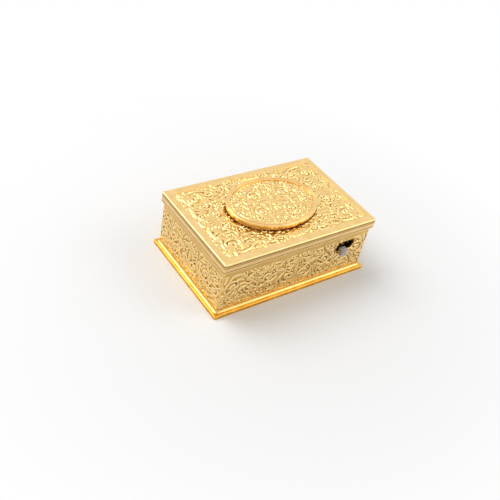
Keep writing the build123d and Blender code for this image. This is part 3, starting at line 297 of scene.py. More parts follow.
body_down = down("body_down", [
    (0.15, (0.012, 0.05, 0.08)), (0.5, (0.03, 0.24, 0.30)), (1.0, (0.16, 0.56, 0.50))])
wing_down = down("wing_down", [
    (0.15, (0.10, 0.03, 0.02)), (0.5, (0.44, 0.13, 0.04)), (1.0, (0.82, 0.42, 0.12))])
bead = dull("eye_bead", (0.004, 0.004, 0.004), (0.012, 0.01, 0.01), 0.08, 300.0, 0.05)
finishes = {"gilt": gilt, "brass": brass, "steel": steel, "wood": wood, "leather": leather,
            "feather": feather, "wing_feather": wing_feather, "beak": beak_horn}


def paint_nodes():
    """Every node takes the finish of its own slot, or one of its own."""
    slots = {entry["node"]: entry["material_slot"] for entry in frame["record"]["subparts"]}
    special = {"base_plate": gilt_deep, "oval_lid": gilt_lid, "top_cover": gilt_cover, "bird_body": bird_skin}
    special.update({side + "_wall": gilt_shaded_wall for side in ("front", "back", "left", "right")})
    for name, item in nodes.items():
        item.data.materials.clear()
        item.data.materials.append(special.get(name, finishes[slots[name]]))


paint_nodes()


def add_object(name, data):
    item = bpy.data.objects.new(name, data)
    bpy.context.scene.collection.objects.link(item)
    return item


def mesh_of(name, bm):
    mesh = bpy.data.meshes.new(name)
    bm.to_mesh(mesh)
    bm.free()
    return mesh


def add_piece(name, mesh, material, body):
    piece = add_object(name, mesh)
    mesh.materials.append(material)
    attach(piece, body)
    return piece


# Chased relief: heights in millimetres over a flat grid

class Relief:
    def __init__(self, half_u, half_v, step, roundness):
        self.roundness = roundness
        self.u = np.linspace(-half_u, half_u, 2 * round(half_u / step) + 1)
        self.v = np.linspace(-half_v, half_v, 2 * round(half_v / step) + 1)
        self.step_u = self.u[1] - self.u[0]
        self.step_v = self.v[1] - self.v[0]
        self.grid_u, self.grid_v = np.meshgrid(self.u, self.v)
        self.height = np.zeros(self.grid_u.shape)

    def window(self, u, v, reach):
        first_u = max(0, int((u - reach - self.u[0]) / self.step_u))
        last_u = max(0, int((u + reach - self.u[0]) / self.step_u) + 2)
        first_v = max(0, int((v - reach - self.v[0]) / self.step_v))
        last_v = max(0, int((v + reach - self.v[0]) / self.step_v) + 2)
        return slice(first_v, last_v), slice(first_u, last_u)

    def dome(self, u, v, radius, height):
        part = self.window(u, v, radius)
        spread = (self.grid_u[part] - u) ** 2 + (self.grid_v[part] - v) ** 2
        rise = height * np.clip(1 - spread / radius ** 2, 0, 1) ** self.roundness
        self.height[part] = np.maximum(self.height[part], rise)

    def stroke(self, path, radius_start, radius_end, height):
        """A line of domes along a path. Thin lines stand lower."""
        count = len(path)
        for place, (u, v) in enumerate(path):
            radius = radius_start + (radius_end - radius_start) * place / max(1, count - 1)
            self.dome(u, v, radius, height * min(1.0, 0.45 + radius))

    def free(self, u, v, reach):
        part = self.height[self.window(u, v, reach)]
        return part.size > 0 and part.mean() < bare_height

    def mirror_u(self):
        self.height = np.maximum(self.height, self.height[:, ::-1])

    def mirror_v(self):
        self.height = np.maximum(self.height, self.height[::-1, :])


def spiral(u, v, radius, turns, start, hand):
    """From the outer end of a scroll to its eye."""
    count = max(6, int(turns * radius * 22))
    share = np.linspace(0, 1, count)
    reach = radius * (1 - 0.85 * share ** 0.85)
    angle = start + hand * 2 * math.pi * turns * share
    return np.column_stack([u + reach * np.cos(angle), v + reach * np.sin(angle)])


def smooth_line(points):
    """A curve through the given points."""
    points = [np.array(p, float) for p in points]
    padded = [2 * points[0] - points[1]] + points + [2 * points[-1] - points[-2]]
    line = []
    for a, b, c, d in zip(padded, padded[1:], padded[2:], padded[3:]):
        count = max(3, int(np.linalg.norm(c - b) * 5))
        for step in range(count):
            t = step / count
            line.append(0.5 * (2 * b + (c - a) * t + (2 * a - 5 * b + 4 * c - d) * t ** 2
                               + (3 * b - a - 3 * c + d) * t ** 3))
    line.append(points[-1])
    return np.array(line)


def volute(relief, u, v, radius, opening, hand, thick, height):
    """The part's own scroll of three half circles, rounded over, with a ball at its eye.

    Returns its outer turn."""
    path = []
    at = np.array([u, v], float)
    start = math.radians(opening)
    for share, tighter in zip(volute_shares, volute_shares[1:]):
        angles = start + hand * np.linspace(0, math.pi, max(6, int(radius * share * 14)))
        path.append(np.column_stack([at[0] + radius * share * np.cos(angles),
                                     at[1] + radius * share * np.sin(angles)]))
        start += math.pi
        at = at + radius * (share - tighter) * np.array([math.cos(start), math.sin(start)])
    line = np.vstack(path)
    relief.stroke(line, thick, thick * 0.9, height)
    relief.dome(line[-1][0], line[-1][1], thick * 1.5, height * 1.12)
    return path[0]


def scroll(relief, u, v, radius, turns, start, hand, thick, height):
    path = spiral(u, v, radius, turns, start, hand)
    relief.stroke(path, thick, thick * 0.6, height)
    relief.dome(path[-1][0], path[-1][1], thick * 1.35, height * 1.1)


def leaf(relief, u, v, heading, length, width, bend, height):
    """An acanthus leaf: a bent rib with lobes that point forward."""
    lobes, steps_a_lobe, marks = max(3, int(length)), 4, 5
    steps = lobes * steps_a_lobe
    place = np.array([u, v], float)
    for step in range(steps):
        share = step / steps
        angle = heading + bend * share
        rib_radius = 0.42 * width * (1 - 0.7 * share) * 0.55 + 0.12
        relief.dome(place[0], place[1], rib_radius, height)
        if step % steps_a_lobe == 1:
            reach = width * math.sin(math.pi * (0.28 + 0.66 * share))
            for side in (1, -1):
                turn = angle + side * (1.15 - 0.5 * share)
                for mark in range(1, marks + 1):
                    far = reach * mark / marks
                    curl = turn - side * 0.35 * mark / marks
                    lobe_radius = 0.2 * width * (1.15 - 0.14 * mark) + 0.08
                    relief.dome(place[0] + far * math.cos(curl), place[1] + far * math.sin(curl),
                                lobe_radius, height * (1 - 0.09 * mark))
        place = place + length / steps * np.array([math.cos(angle), math.sin(angle)])
    relief.dome(place[0], place[1], 0.16 * width + 0.1, height * 0.8)


def flower(relief, u, v, radius, petals, height):
    """Two rows of petals round a bud."""
    for row, reach in enumerate((0.66, 0.38)):
        for petal in range(petals):
            angle = 2 * math.pi * (petal + 0.5 * row) / petals
            across = radius * reach
            relief.dome(u + across * math.cos(angle), v + across * math.sin(angle),
                        radius * 0.36, height * (0.8 + 0.15 * row))
    relief.dome(u, v, radius * 0.24, height * 1.15)


def shell(relief, u, v, radius, heading, spread, ribs, height):
    """Ribs that fan out and widen from a bud."""
    marks = int(radius * 5)
    for rib in range(ribs):
        angle = heading + spread * (rib / (ribs - 1) - 0.5)
        for mark in range(marks):
            far = radius * (0.2 + 0.8 * mark / marks)
            rib_radius = 0.1 + 0.5 * far * spread / ribs
            relief.dome(u + far * math.cos(angle), v + far * math.sin(angle),
                        rib_radius, height * (0.6 + 0.4 * mark / marks))
    relief.dome(u, v, radius * 0.22, height)


def fill(relief, seed, inside, height, sizes, thick):
    """Small curls, leaves and buds in the ground that the main scrolls leave free."""
    draw = np.random.default_rng(seed)
    least_scroll, least_leaf = 1.7, 1.4
    scroll_share, jitter = 0.4, 0.4
    for size in sizes:
        gap = size * 0.8
        for v in np.arange(relief.v[0] + gap, relief.v[-1], gap):
            for u in np.arange(relief.u[0] + gap, relief.u[-1], gap):
                at_u = u + draw.uniform(-jitter, jitter) * gap
                at_v = v + draw.uniform(-jitter, jitter) * gap
                heading = draw.uniform(0, 2 * math.pi)
                kind = draw.uniform()
                if not inside(at_u, at_v) or not relief.free(at_u, at_v, size * 0.72):
                    continue
                if size > least_scroll and kind < scroll_share:
                    hand = 1 if kind < scroll_share / 2 else -1
                    scroll(relief, at_u, at_v, size * 0.74, 1.2, heading, hand, thick, height * 0.9)
                elif size > least_leaf:
                    leaf(relief, at_u - size * 0.7 * math.cos(heading), at_v - size * 0.7 * math.sin(heading),
                         heading - 0.4, size * 1.6, size * 0.7, 0.8, height * 0.85)
                elif kind < 0.5:
                    relief.dome(at_u, at_v, size * 0.55, height * 0.6)
                else:
                    for bud in (-0.8, 0, 0.8):
                        relief.dome(at_u + size * 0.5 * math.cos(heading + bud),
                                    at_v + size * 0.5 * math.sin(heading + bud), size * 0.34, height * 0.55)


def blurred(values, times):
    for _ in range(times):
        padded = np.pad(values, 1, mode="edge")
        values = (padded[:-2, 1:-1] + padded[2:, 1:-1] + padded[1:-1, :-2] + padded[1:-1, 2:]
                  + 2 * padded[1:-1, 1:-1]) / 6
    return values


def finish_heights(relief, seed, edge):
    """Softens the strokes, roughens the ground and sinks the sheet's rim into the metal.

    edge is each point's distance in from the sheet's rim."""
    draw = np.random.default_rng(seed)
    shape = relief.height.shape
    raised = blurred(relief.height, 1)
    # The depth tone: the hollows and crevices are darkened, partly patina and partly painted shade
    broad = middle_tone + (raised - blurred(raised, broad_rows)) * broad_gain
    crevice = np.clip(blurred(raised, near_rows) - raised - crevice_start, 0, crevice_most)
    patchy = blurred(draw.uniform(-1, 1, shape), patch_rows)
    patchy = np.clip(0.5 + patchy / patchy.std() * patch_gain, 0, 1)
    relief.depth = np.clip(broad - crevice * crevice_gain * patchy, 0, 1)
    stipple = blurred(draw.uniform(-1, 1, shape), 1) * stipple_height
    heights = raised + ground + stipple
    relief.height = np.minimum(heights, sunk + np.clip(edge, 0, rim_reach) * rim_slope)


def chains(edges):
    """The closed rows of corners that some edges make."""
    ends = {}
    for edge in edges:
        for corner in edge.verts:
            ends.setdefault(corner, []).append(edge)
    used, rows = set(), []
    for first in edges:
        if first in used:
            continue
        row, edge, corner = [], first, first.verts[0]
        while edge is not None:
            used.add(edge)
            row.append(corner)
            corner = edge.other_vert(corner)
            edge = next((other for other in ends[corner] if other not in used), None)
        rows.append(row)
    return rows


def close_ring(bm, inner, outer):
    """Fills the flat ring between a hole and the rim round it, going round the hole's middle."""
    middle = sum((corner.co for corner in inner), Vector()) / len(inner)
    away = outer[0].co - middle
    across = (outer[len(outer) // 4].co - middle).cross(away).normalized().cross(away.normalized())

    def bearings(row):
        angles = [math.atan2((corner.co - middle).dot(across), (corner.co - middle).dot(away.normalized()))
                  for corner in row]
        turned = np.unwrap(np.append(angles, angles[0]))
        if turned[-1] < turned[0]:
            row.reverse()
            return bearings(row)
        return turned

    bearings(inner)
    bearings(outer)
    near = min(range(len(inner)), key=lambda k: (inner[k].co - outer[0].co).length)
    inner = inner[near:] + inner[:near]
    inside, outside = bearings(inner), bearings(outer)
    inside += 2 * math.pi * round((outside[0] - inside[0]) / (2 * math.pi))
    k = j = 0
    while k < len(inner) or j < len(outer):
        a, b = inner[k % len(inner)], outer[j % len(outer)]
        if j == len(outer) or (k < len(inner) and inside[k + 1] < outside[j + 1]):
            k += 1
            bm.faces.new((a, b, inner[k % len(inner)]))
        else:
            j += 1
            bm.faces.new((a, b, outer[j % len(outer)]))


def sheet_mesh(name, relief, keep, place):
    """A closed skin: the heights on top, a rim, and a flat underside that the metal hides."""
    whole = keep[:-1, :-1] & keep[1:, :-1] & keep[:-1, 1:] & keep[1:, 1:]
    used = np.zeros(keep.shape, bool)
    for rows in (slice(None, -1), slice(1, None)):
        for columns in (slice(None, -1), slice(1, None)):
            used[rows, columns] |= whole
    index = np.full(keep.shape, -1)
    index[used] = np.arange(used.sum())
    corners = place(relief.grid_u[used], relief.grid_v[used], relief.height[used])
    faces = np.column_stack([index[:-1, :-1][whole], index[:-1, 1:][whole],
                             index[1:, 1:][whole], index[1:, :-1][whole]])
    mesh = bpy.data.meshes.new(name)
    mesh.from_pydata((corners * MM).tolist(), [], faces.tolist())
    shade = mesh.attributes.new("depth", "FLOAT", "POINT")
    shade.data.foreach_set("value", relief.depth[used].astype(np.float32))
    level = Vector(place(np.zeros(1), np.zeros(1), np.full(1, underside))[0]) * MM
    outward = (Vector(place(np.zeros(1), np.zeros(1), np.ones(1))[0]) * MM - level).normalized()

    bm = bmesh.new()
    bm.from_mesh(mesh)
    rim = [edge for edge in bm.edges if edge.is_boundary]
    made = bmesh.ops.extrude_edge_only(bm, edges=rim)["geom"]
    low = [item for item in made if isinstance(item, bmesh.types.BMVert)]
    for corner in low:
        corner.co -= outward * (corner.co - level).dot(outward)
    under = [item for item in made if isinstance(item, bmesh.types.BMEdge) and item.is_boundary]
    loops = chains(under)
    if len(loops) == 2:
        close_ring(bm, *sorted(loops, key=len))
    else:
        bmesh.ops.triangle_fill(bm, edges=under, use_beauty=False)
    bmesh.ops.recalc_face_normals(bm, faces=bm.faces)
    bm.to_mesh(mesh)
    bm.free()
    mesh.shade_smooth()
    return mesh


def oval(u, v, half_u, half_v):
    """Roughly the distance outside an oval, less than nought inside it."""
    reach = np.hypot(u / half_u, v / half_v)
    slope = np.hypot(u / half_u ** 2, v / half_v ** 2) / np.maximum(reach, 1e-6)
    return (reach - 1) / np.maximum(slope, 1e-6)


def outline_distance(u, v, outline):
    """The distance outside a closed outline, less than nought inside it."""
    best = np.full(np.shape(u), 1e9)
    inside = np.zeros(np.shape(u), bool)
    for (u0, v0), (u1, v1) in zip(outline, outline[1:] + outline[:1]):
        along_u, along_v = u1 - u0, v1 - v0
        share = np.clip(((u - u0) * along_u + (v - v0) * along_v) / (along_u ** 2 + along_v ** 2), 0, 1)
        best = np.minimum(best, np.hypot(u - u0 - share * along_u, v - v0 - share * along_v))
        crossing = ((v0 > v) != (v1 > v)) & (u < (u1 - u0) * (v - v0) / (v1 - v0 + 1e-12) + u0)
        inside ^= crossing
    return np.where(inside, -best, best)


# The cover's sunk field

def cover_field():
    """Drawn in one quarter and mirrored twice."""
    relief = Relief(field_half_x + over_edge, field_half_y + over_edge, 0.25, 0.34)
    tall = 0.56
    stem = smooth_line([(0, 22.6), (5, 25.0), (11, 22.8), (17, 25.0), (24, 22.0), (31, 25.2), (38, 25.6),
                        (43.2, 21.0), (41.8, 14.0), (43.4, 8.0), (40.5, 0)])
    relief.stroke(stem, 0.7, 0.7, tall)
    for in_u, in_v, radius, opening, hand in cover_volutes:
        u, v = field_half_x - in_u, field_half_y - in_v
        turn_out = volute(relief, u, v, radius, opening, hand, 0.74, tall)
        for share in (0.08, 0.42, 0.78):
            tip = turn_out[int(share * (len(turn_out) - 1))]
            away = math.atan2(tip[1] - v, tip[0] - u)
            leaf(relief, tip[0], tip[1], away + hand * 0.8,
                 radius * 1.25, radius * 0.5, hand * 0.9, tall * 0.9)
    for u, v, radius, turns, start, hand in (
            (19.6, 23.2, 3.0, 1.5, 2.4, 1), (11.6, 23.6, 2.9, 1.4, 0.4, -1), (4.6, 24.2, 2.4, 1.4, 2.0, 1),
            (40.4, 4.8, 3.2, 1.5, 4.4, 1), (32.6, 5.4, 3.2, 1.6, 0.8, -1)):
        scroll(relief, u, v, radius, turns, start, hand, 0.68, tall)
        for turn in (0.5, 2.0, 3.6):
            angle = start + hand * turn
            leaf(relief, u + radius * math.cos(angle), v + radius * math.sin(angle),
                 angle + hand * 0.9, radius * 1.2, radius * 0.46, hand * 0.9, tall * 0.9)
    for angle in (0.35, 0.8, 1.25):
        leaf(relief, 38.5, 19.5, angle, 8.0, 2.2, 0.3, tall)
    flower(relief, 43.2, 25.2, 1.8, 6, tall)
    shell(relief, 0, 20.4, 6.2, math.pi / 2, 2.0, 7, tall)
    shell(relief, 33.4, 0, 6.6, 0, 2.0, 7, tall)
    flower(relief, 30.4, 0, 2.4, 7, tall)

    def inside(u, v):
        return (u >= -0.5 and v >= -0.5 and u < field_half_x - 0.3 and v < field_half_y - 0.3
                and oval(u, v, bezel_half_x, bezel_half_y) > 0.8)

    seed = 3
    fill(relief, seed, inside, tall, (3.4, 2.6, 1.9, 1.3), 0.6)
    relief.mirror_u()
    relief.mirror_v()
    bezel_gap = 0.15
    outside_bezel = oval(relief.grid_u, relief.grid_v, bezel_half_x, bezel_half_y) - bezel_gap
    rim_in = np.minimum(field_half_x + over_edge - abs(relief.grid_u),
                        field_half_y + over_edge - abs(relief.grid_v))
    finish_heights(relief, seed + 1, np.minimum(rim_in, outside_bezel))

    # Painted shadow: the field is darkened in the corner between the field and the bezel, under the lid's
    # overhang
    overhang_shadow, overhang_shadow_full, overhang_shadow_fade = 0.75, 1.25, 1.9
    overhang_shadowed = overhang_shadow * np.clip(overhang_shadow_full - outside_bezel / overhang_shadow_fade, 0, 1)
    relief.depth = np.clip(relief.depth - overhang_shadowed, 0, 1)
    keep = outside_bezel > -0.05

    def place(u, v, height):
        return np.column_stack([u, v, field_z + height])

    add_piece("cover_relief", sheet_mesh("cover_relief", relief, keep, place), gilt_relief, "case")


# The lid's sunk floor

def lid_field():
    relief = Relief(lid_half_x, lid_half_y, 0.22, 0.34)
    tall = 0.46
    flower(relief, 0, 0, 3.0, 7, tall)
    for bay in range(7):
        angle = 2 * math.pi * bay / 7 + 0.2
        leaf(relief, 2.9 * math.cos(angle), 2.5 * math.sin(angle), angle, 5.2, 1.9, 0.9, tall)
    radius = 4.6
    for bay in range(4):
        angle = 2 * math.pi * bay / 4 + 0.62
        u, v = 13.0 * math.cos(angle), 9.6 * math.sin(angle)
        scroll(relief, u, v, radius, 1.6, angle + 2.6, 1, 0.66, tall)
        for turn in (0.2, 1.5, 2.8, 4.2):
            out = angle + 2.6 + turn
            leaf(relief, u + radius * math.cos(out), v + radius * math.sin(out), out + 0.9,
                 4.6, 1.8, 0.9, tall * 0.92)
        flower(relief, u, v, 1.7, 6, tall)
    for bay in range(10):
        angle = 2 * math.pi * (bay + 0.5) / 10
        u, v = 20.6 * math.cos(angle), 14.6 * math.sin(angle)
        hand = 1 if bay % 2 else -1
        scroll(relief, u, v, 2.7, 1.3, angle + 1.4 * hand, hand, 0.58, tall * 0.95)
        leaf(relief, u, v, angle + 2.0 * hand, 4.6, 1.6, hand, tall * 0.9)

    def inside(u, v):
        return oval(u, v, lid_half_x, lid_half_y) < -0.7

    seed, into_rim = 11, 0.12
    fill(relief, seed, inside, tall, (3.0, 2.3, 1.7, 1.2), 0.55)
    edge = -oval(relief.grid_u, relief.grid_v, lid_half_x, lid_half_y) + into_rim
    finish_heights(relief, seed + 1, edge)
    keep = edge > 0

    def place(u, v, height):
        return np.column_stack([u, v, lid_floor_z + height])

    add_piece("lid_relief", sheet_mesh("lid_relief", relief, keep, place), gilt_relief, "lid")


# The four walls' sunk panels

def wall_field(name, half_length, seed, place, cut=None):
    """Drawn in one half and mirrored. A cut is an outline in the wall that the sheet leaves free."""
    half_height = (panel_high - panel_low) / 2
    relief = Relief(half_length + over_edge, half_height + over_edge, 0.28, 0.42)
    tall = 0.68
    count = round(half_length / wall_volute_pitch)
    pitch = half_length / count
    swing = 3.4
    stem = smooth_line([(pitch * bay, swing if bay % 2 else -swing) for bay in range(count + 1)])
    relief.stroke(stem, 0.5, 0.5, tall)
    for bay in range(count):
        rise = 1 if bay % 2 else -1
        u, v = pitch * (bay + 0.5), rise * 2.2
        turn_out = volute(relief, u, v, wall_volute, 70 + 75 * bay, rise, 0.66, tall)
        for share in (0.0, 0.33, 0.66, 1.0):
            tip = turn_out[int(share * (len(turn_out) - 1))]
            away = math.atan2(tip[1] - v, tip[0] - u)
            leaf(relief, tip[0], tip[1], away + rise * 0.8, 5.0, 1.9, rise * 0.9, tall * 0.92)
        small_v, small_radius = v - rise * 7.6, 2.9
        start = 3.4 + 1.3 * bay
        scroll(relief, u, small_v, small_radius, 1.5, start, -rise, 0.6, tall)
        for turn in (0.3, 2.0, 3.8):
            angle = start - rise * turn
            leaf(relief, u + small_radius * math.cos(angle), small_v + small_radius * math.sin(angle),
                 angle - rise * 0.9, 3.6, 1.4, -rise * 0.9, tall * 0.9)
        flower(relief, u, v, 1.25, 6, tall)
    shell(relief, 0, -9.5, 6.5, math.pi / 2, 1.9, 7, tall)
    shell(relief, 0, 9.8, 5.0, -math.pi / 2, 1.9, 7, tall)
    leaf(relief, 0, -2.5, math.pi / 2, 7.5, 2.1, 0, tall)

    def inside(u, v):
        return -0.5 <= u < half_length + 0.2 and -half_height + 0.5 < v < half_height

    fill(relief, seed, inside, tall, (3.0, 2.3, 1.7, 1.1), 0.55)
    relief.mirror_u()
    edge = np.minimum(half_length + over_edge - abs(relief.grid_u), half_height + over_edge - relief.grid_v)
    edge = np.minimum(edge, half_height + relief.grid_v)
    if cut is not None:
        cut_gap = 0.35
        edge = np.minimum(edge, outline_distance(relief.grid_u, relief.grid_v + panel_middle, cut) - cut_gap)
    finish_heights(relief, seed + 1, edge)
    keep = edge > -0.01
    add_piece(name, sheet_mesh(name, relief, keep, place), gilt_relief, "case")


def walls():
    def front(u, v, height):
        return np.column_stack([u, -panel_face_y - height, panel_middle + v])

    def back(u, v, height):
        return np.column_stack([-u, panel_face_y + height, panel_middle + v])

    def left(u, v, height):
        return np.column_stack([-panel_face_x - height, -u, panel_middle + v])

    def right(u, v, height):
        return np.column_stack([panel_face_x + height, u, panel_middle + v])

    wall_field("front_relief", panel_half_x, 21, front, slot_outline)
    wall_field("back_relief", panel_half_x, 31, back)
    wall_field("left_relief", panel_half_y, 41, left)
    wall_field("right_relief", panel_half_y, 51, right)


# The start lever's grooved thumb piece

lever_low_x, lever_high_x = 28.0, 31.9
thumb_low, thumb_high = 17.5, 21.9
thumb_inner, thumb_outer = -31.35, -34.25


def thumb_piece():
    """A steel block on the lever's end, grooved across its top and its outer face."""
    grooves, top_depth, face_depth = 5, 0.28, 0.25
    outline = [(thumb_inner, thumb_low), (thumb_inner, thumb_high)]
    pitch = (thumb_inner - thumb_outer) / grooves
    for groove in range(grooves):
        y = thumb_inner - pitch * groove
        outline += [(y - pitch * 0.55, thumb_high), (y - pitch * 0.7, thumb_high - top_depth),
                    (y - pitch * 0.9, thumb_high - top_depth)]
    outline.append((thumb_outer, thumb_high - 0.15))
    pitch = (thumb_high - thumb_low - 0.6) / grooves
    for groove in range(grooves):
        z = thumb_high - 0.4 - pitch * groove
        outline += [(thumb_outer, z - pitch * 0.5), (thumb_outer + face_depth, z - pitch * 0.65),
                    (thumb_outer + face_depth, z - pitch * 0.85), (thumb_outer, z - pitch)]
    outline.append((thumb_outer, thumb_low))
    bm = bmesh.new()
    near = [bm.verts.new(Vector((lever_low_x, y, z)) * MM) for y, z in outline]
    far = [bm.verts.new(Vector((lever_high_x, y, z)) * MM) for y, z in outline]
    bm.faces.new(near)
    bm.faces.new(far[::-1])
    for k in range(len(outline)):
        after = (k + 1) % len(outline)
        bm.faces.new((near[k], far[k], far[after], near[after]))
    bmesh.ops.recalc_face_normals(bm, faces=bm.faces)
    piece = add_piece("lever_thumb", mesh_of("lever_thumb", bm), steel, "slider")
    soften = piece.modifiers.new("soften", "BEVEL")
    soften.width = 0.07 * MM
    soften.segments = 2
    soften.limit_method = "ANGLE"


# The bellows' pleated leather

bellows_hinge = (41.5, -15.0)
bellows_length, bellows_angle = 36.0, 14.0
bellows_low, bellows_high = 5.2, 15.2


def bellows_skin():
    """A fan of folds between the boards. Every second ring is tucked in."""
    folds, near, tuck_far, tuck_side = 12, 2.6, 1.5, 0.7
    bm = bmesh.new()
    rings = []
    for fold in range(folds + 1):
        angle = math.radians(bellows_angle * (0.03 + 0.94 * fold / folds))
        tucked = fold % 2
        far = bellows_length - 0.4 - tuck_far * tucked
        low, high = bellows_low + 0.1 + tuck_side * tucked, bellows_high - 0.1 - tuck_side * tucked
        corners = [(bellows_hinge[0] + 0.35 - reach * math.sin(angle),
                    bellows_hinge[1] + reach * math.cos(angle), z)
                   for reach, z in ((near, low), (far, low), (far, high), (near, high))]
        rings.append([bm.verts.new(Vector(corner) * MM) for corner in corners])
    for before, after in zip(rings, rings[1:]):
        for side in range(4):
            bm.faces.new((before[side], before[(side + 1) % 4], after[(side + 1) % 4], after[side]))
    bm.faces.new(rings[0][::-1])
    bm.faces.new(rings[-1])
    bmesh.ops.recalc_face_normals(bm, faces=bm.faces)
    mesh = mesh_of("bellows_skin", bm)
    skin = add_object("bellows_skin", mesh)
    mesh.materials.append(leather)
    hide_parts("bellows_leather")
    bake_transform(skin)


# The bird's plumage

bird_tilt = math.radians(30)
body_centre = np.array([5.0, 0.0, 27.0])
body_axis = np.array([math.sin(bird_tilt), 0.0, -math.cos(bird_tilt)])
body_up = np.array([math.cos(bird_tilt), 0.0, math.sin(bird_tilt)])
body_side = np.array([0.0, 1.0, 0.0])
head_along, head_up, head_radius = 4.3, 2.3, 2.3
wing_face, wing_cover = 4.28, 2.75
body_outline = [(-6.0, 0.95), (-5.0, 1.2), (-4.5, 1.55), (-3.0, 2.4), (-2.0, 2.86), (-1.0, 3.13), (0.5, 3.33),
                (1.5, 3.26), (2.0, 3.14), (4.0, 2.3), (4.6, 1.8)]

# Along a feather: the share of its length, then the share of its width there
feather_shape = ((0.0, 0.55), (0.3, 1.0), (0.65, 0.95), (0.88, 0.6), (1.0, 0.12))
# Round a feather: the tones of its edge, shaft, other edge and underside
feather_tones = (0.1, -0.15, 0.1, 0.0)
# Rows of wing feathers: place along the body, place above its axis, count, length, width
wing_rows = ((1.6, 0.9, 5, 6.6, 0.75), (1.9, 1.3, 6, 4.2, 0.8), (2.0, 1.6, 5, 2.4, 0.8))


def on_body(along, up=0.0, side=0.0):
    return body_centre + along * body_axis + up * body_up + side * body_side


def body_radius(along):
    return float(np.interp(along, *zip(*body_outline)))


def add_feather(bm, root, along, across, length, width, thick=0.09, curl=0.12):
    """One closed feather: a blade with a raised shaft, a pointed tip and a slight curl."""
    out = np.cross(along, across)
    out /= np.linalg.norm(out)
    shade = bm.verts.layers.float.get("depth") or bm.verts.layers.float.new("depth")
    own_tone = 0.16 * math.sin(37.0 * root.sum())
    rows = []
    for share, wide in feather_shape:
        middle = root + along * length * share - out * curl * length * (share - 0.35) ** 2
        edge = across * width * wide / 2
        top = out * thick * (1.1 - 0.7 * share)
        row = [bm.verts.new(Vector(point) * MM)
               for point in (middle - edge, middle + top, middle + edge, middle - out * thick * 0.5)]
        for corner, tone in zip(row, feather_tones):
            corner[shade] = 0.1 + 0.7 * share + tone + own_tone
        rows.append(row)
    for before, after in zip(rows, rows[1:]):
        for k in range(4):
            bm.faces.new((before[k], before[(k + 1) % 4], after[(k + 1) % 4], after[k]))
    bm.faces.new(rows[0][::-1])
    bm.faces.new(rows[-1])


def plumage_piece(name, bm, material, body):
    bmesh.ops.recalc_face_normals(bm, faces=bm.faces)
    add_piece(name, mesh_of(name, bm), material, body)


def unit(vector):
    return vector / np.linalg.norm(vector)


def body_plumage():
    """Rows of small feathers that lie back over each other, with none under the wings."""
    bm = bmesh.new()
    rows, feather_step, spacing = 11, 1.4, 0.95
    for row in range(rows):
        along = -5.4 + 9.6 * row / (rows - 1)
        radius = body_radius(along)
        count = max(6, int(2 * math.pi * radius / spacing))
        for place in range(count):
            angle = 2 * math.pi * (place + 0.5 * (row % 2)) / count
            outward = math.sin(angle) * body_side + math.cos(angle) * body_up
            around = math.cos(angle) * body_side - math.sin(angle) * body_up
            if abs(radius * math.sin(angle)) > wing_cover and along < 3:
                continue
            radius_behind = body_radius(along - feather_step)
            slope = unit(-feather_step * body_axis + (radius_behind - radius) * outward)
            root = on_body(along) + outward * (radius - 0.02)
            add_feather(bm, root, slope, -around, 1.75, 1.15, 0.14, 0.02)
    plumage_piece("body_feathers", bm, body_down, "bird")


def head_plumage():
    """Rings of feathers round the head, from the beak back to the neck."""
    bm = bmesh.new()
    head = on_body(head_along, head_up)
    beak_way = np.array([0.0, 0.0, -1.0])
    crown = np.array([1.0, 0.0, 0.0])
    rows, spacing = 5, 0.85
    for row in range(rows):
        lean = math.radians(48 + 24 * row)
        count = max(5, int(2 * math.pi * head_radius * math.sin(lean) / spacing))
        for place in range(count):
            angle = 2 * math.pi * (place + 0.5 * (row % 2)) / count
            spoke = math.cos(angle) * crown + math.sin(angle) * body_side
            outward = unit(math.cos(lean) * beak_way + math.sin(lean) * spoke)
            if np.dot(outward, body_axis * 0.2 - body_up) > 0.55 and row > 2:
                continue
            back = unit(spoke * math.cos(lean) - beak_way * math.sin(lean))
            around = unit(np.cross(outward, back))
            add_feather(bm, head + outward * (head_radius - 0.03), back, around, 1.15, 0.95, 0.08, 0.12)
    plumage_piece("head_feathers", bm, body_down, "bird")


def wing_plumage(side, name, body):
    """Three rows of coverts and long flight feathers on the outer face of the wing."""
    bm = bmesh.new()
    for row, (along, above, count, length, width) in enumerate(wing_rows):
        out = side * wing_face + side * 0.05 * row
        for place in range(count):
            share = place / (count - 1)
            root = on_body(along - 0.5 * share, above - 2.2 * share + 0.2 * row) + body_side * out
            way = unit(-body_axis - body_up * (0.16 - 0.1 * share))
            across = unit(np.cross(way, side * body_side))
            add_feather(bm, root, way, -across, length * (1 - 0.22 * share), width, 0.16, 0.0)
    plumage_piece(name, bm, wing_down, body)


def tail_plumage():
    """A fan of seven feathers, the middle one on top."""
    bm = bmesh.new()
    root = on_body(-5.7)
    for place in range(-3, 4):
        spread = place / 3
        way = unit(-body_axis + body_side * 0.42 * spread)
        across = unit(np.cross(way, body_up))
        start = root + body_side * 0.5 * spread + body_up * (0.34 - 0.05 * abs(place))
        add_feather(bm, start, way, -across, 3.9 - 0.15 * abs(place), 0.85, 0.12, 0.0)
    plumage_piece("tail_feathers", bm, wing_down, "tail")


def eyes():
    """A black bead on each side of the head, with a smaller one standing out of it."""
    bm = bmesh.new()
    head = on_body(head_along, head_up)
    for side in (-1, 1):
        middle = head + np.array([0.5, side * (head_radius - 0.22), -0.8])
        for radius, reach in ((0.42, 0.0), (0.3, 0.16)):
            place = Matrix.Translation(Vector(middle + np.array([0, side * reach, 0])) * MM)
            bmesh.ops.create_uvsphere(bm, u_segments=16, v_segments=10, radius=radius * MM, matrix=place)
    mesh = mesh_of("bird_eyes", bm)
    mesh.shade_smooth()
    add_piece("bird_eyes", mesh, bead, "bird")


cover_field()
lid_field()
walls()
thumb_piece()
bellows_skin()
body_plumage()
head_plumage()
wing_plumage(1, "left_wing_feathers", "left_wing")
wing_plumage(-1, "right_wing_feathers", "right_wing")
tail_plumage()
eyes()


# Camera, light and floor

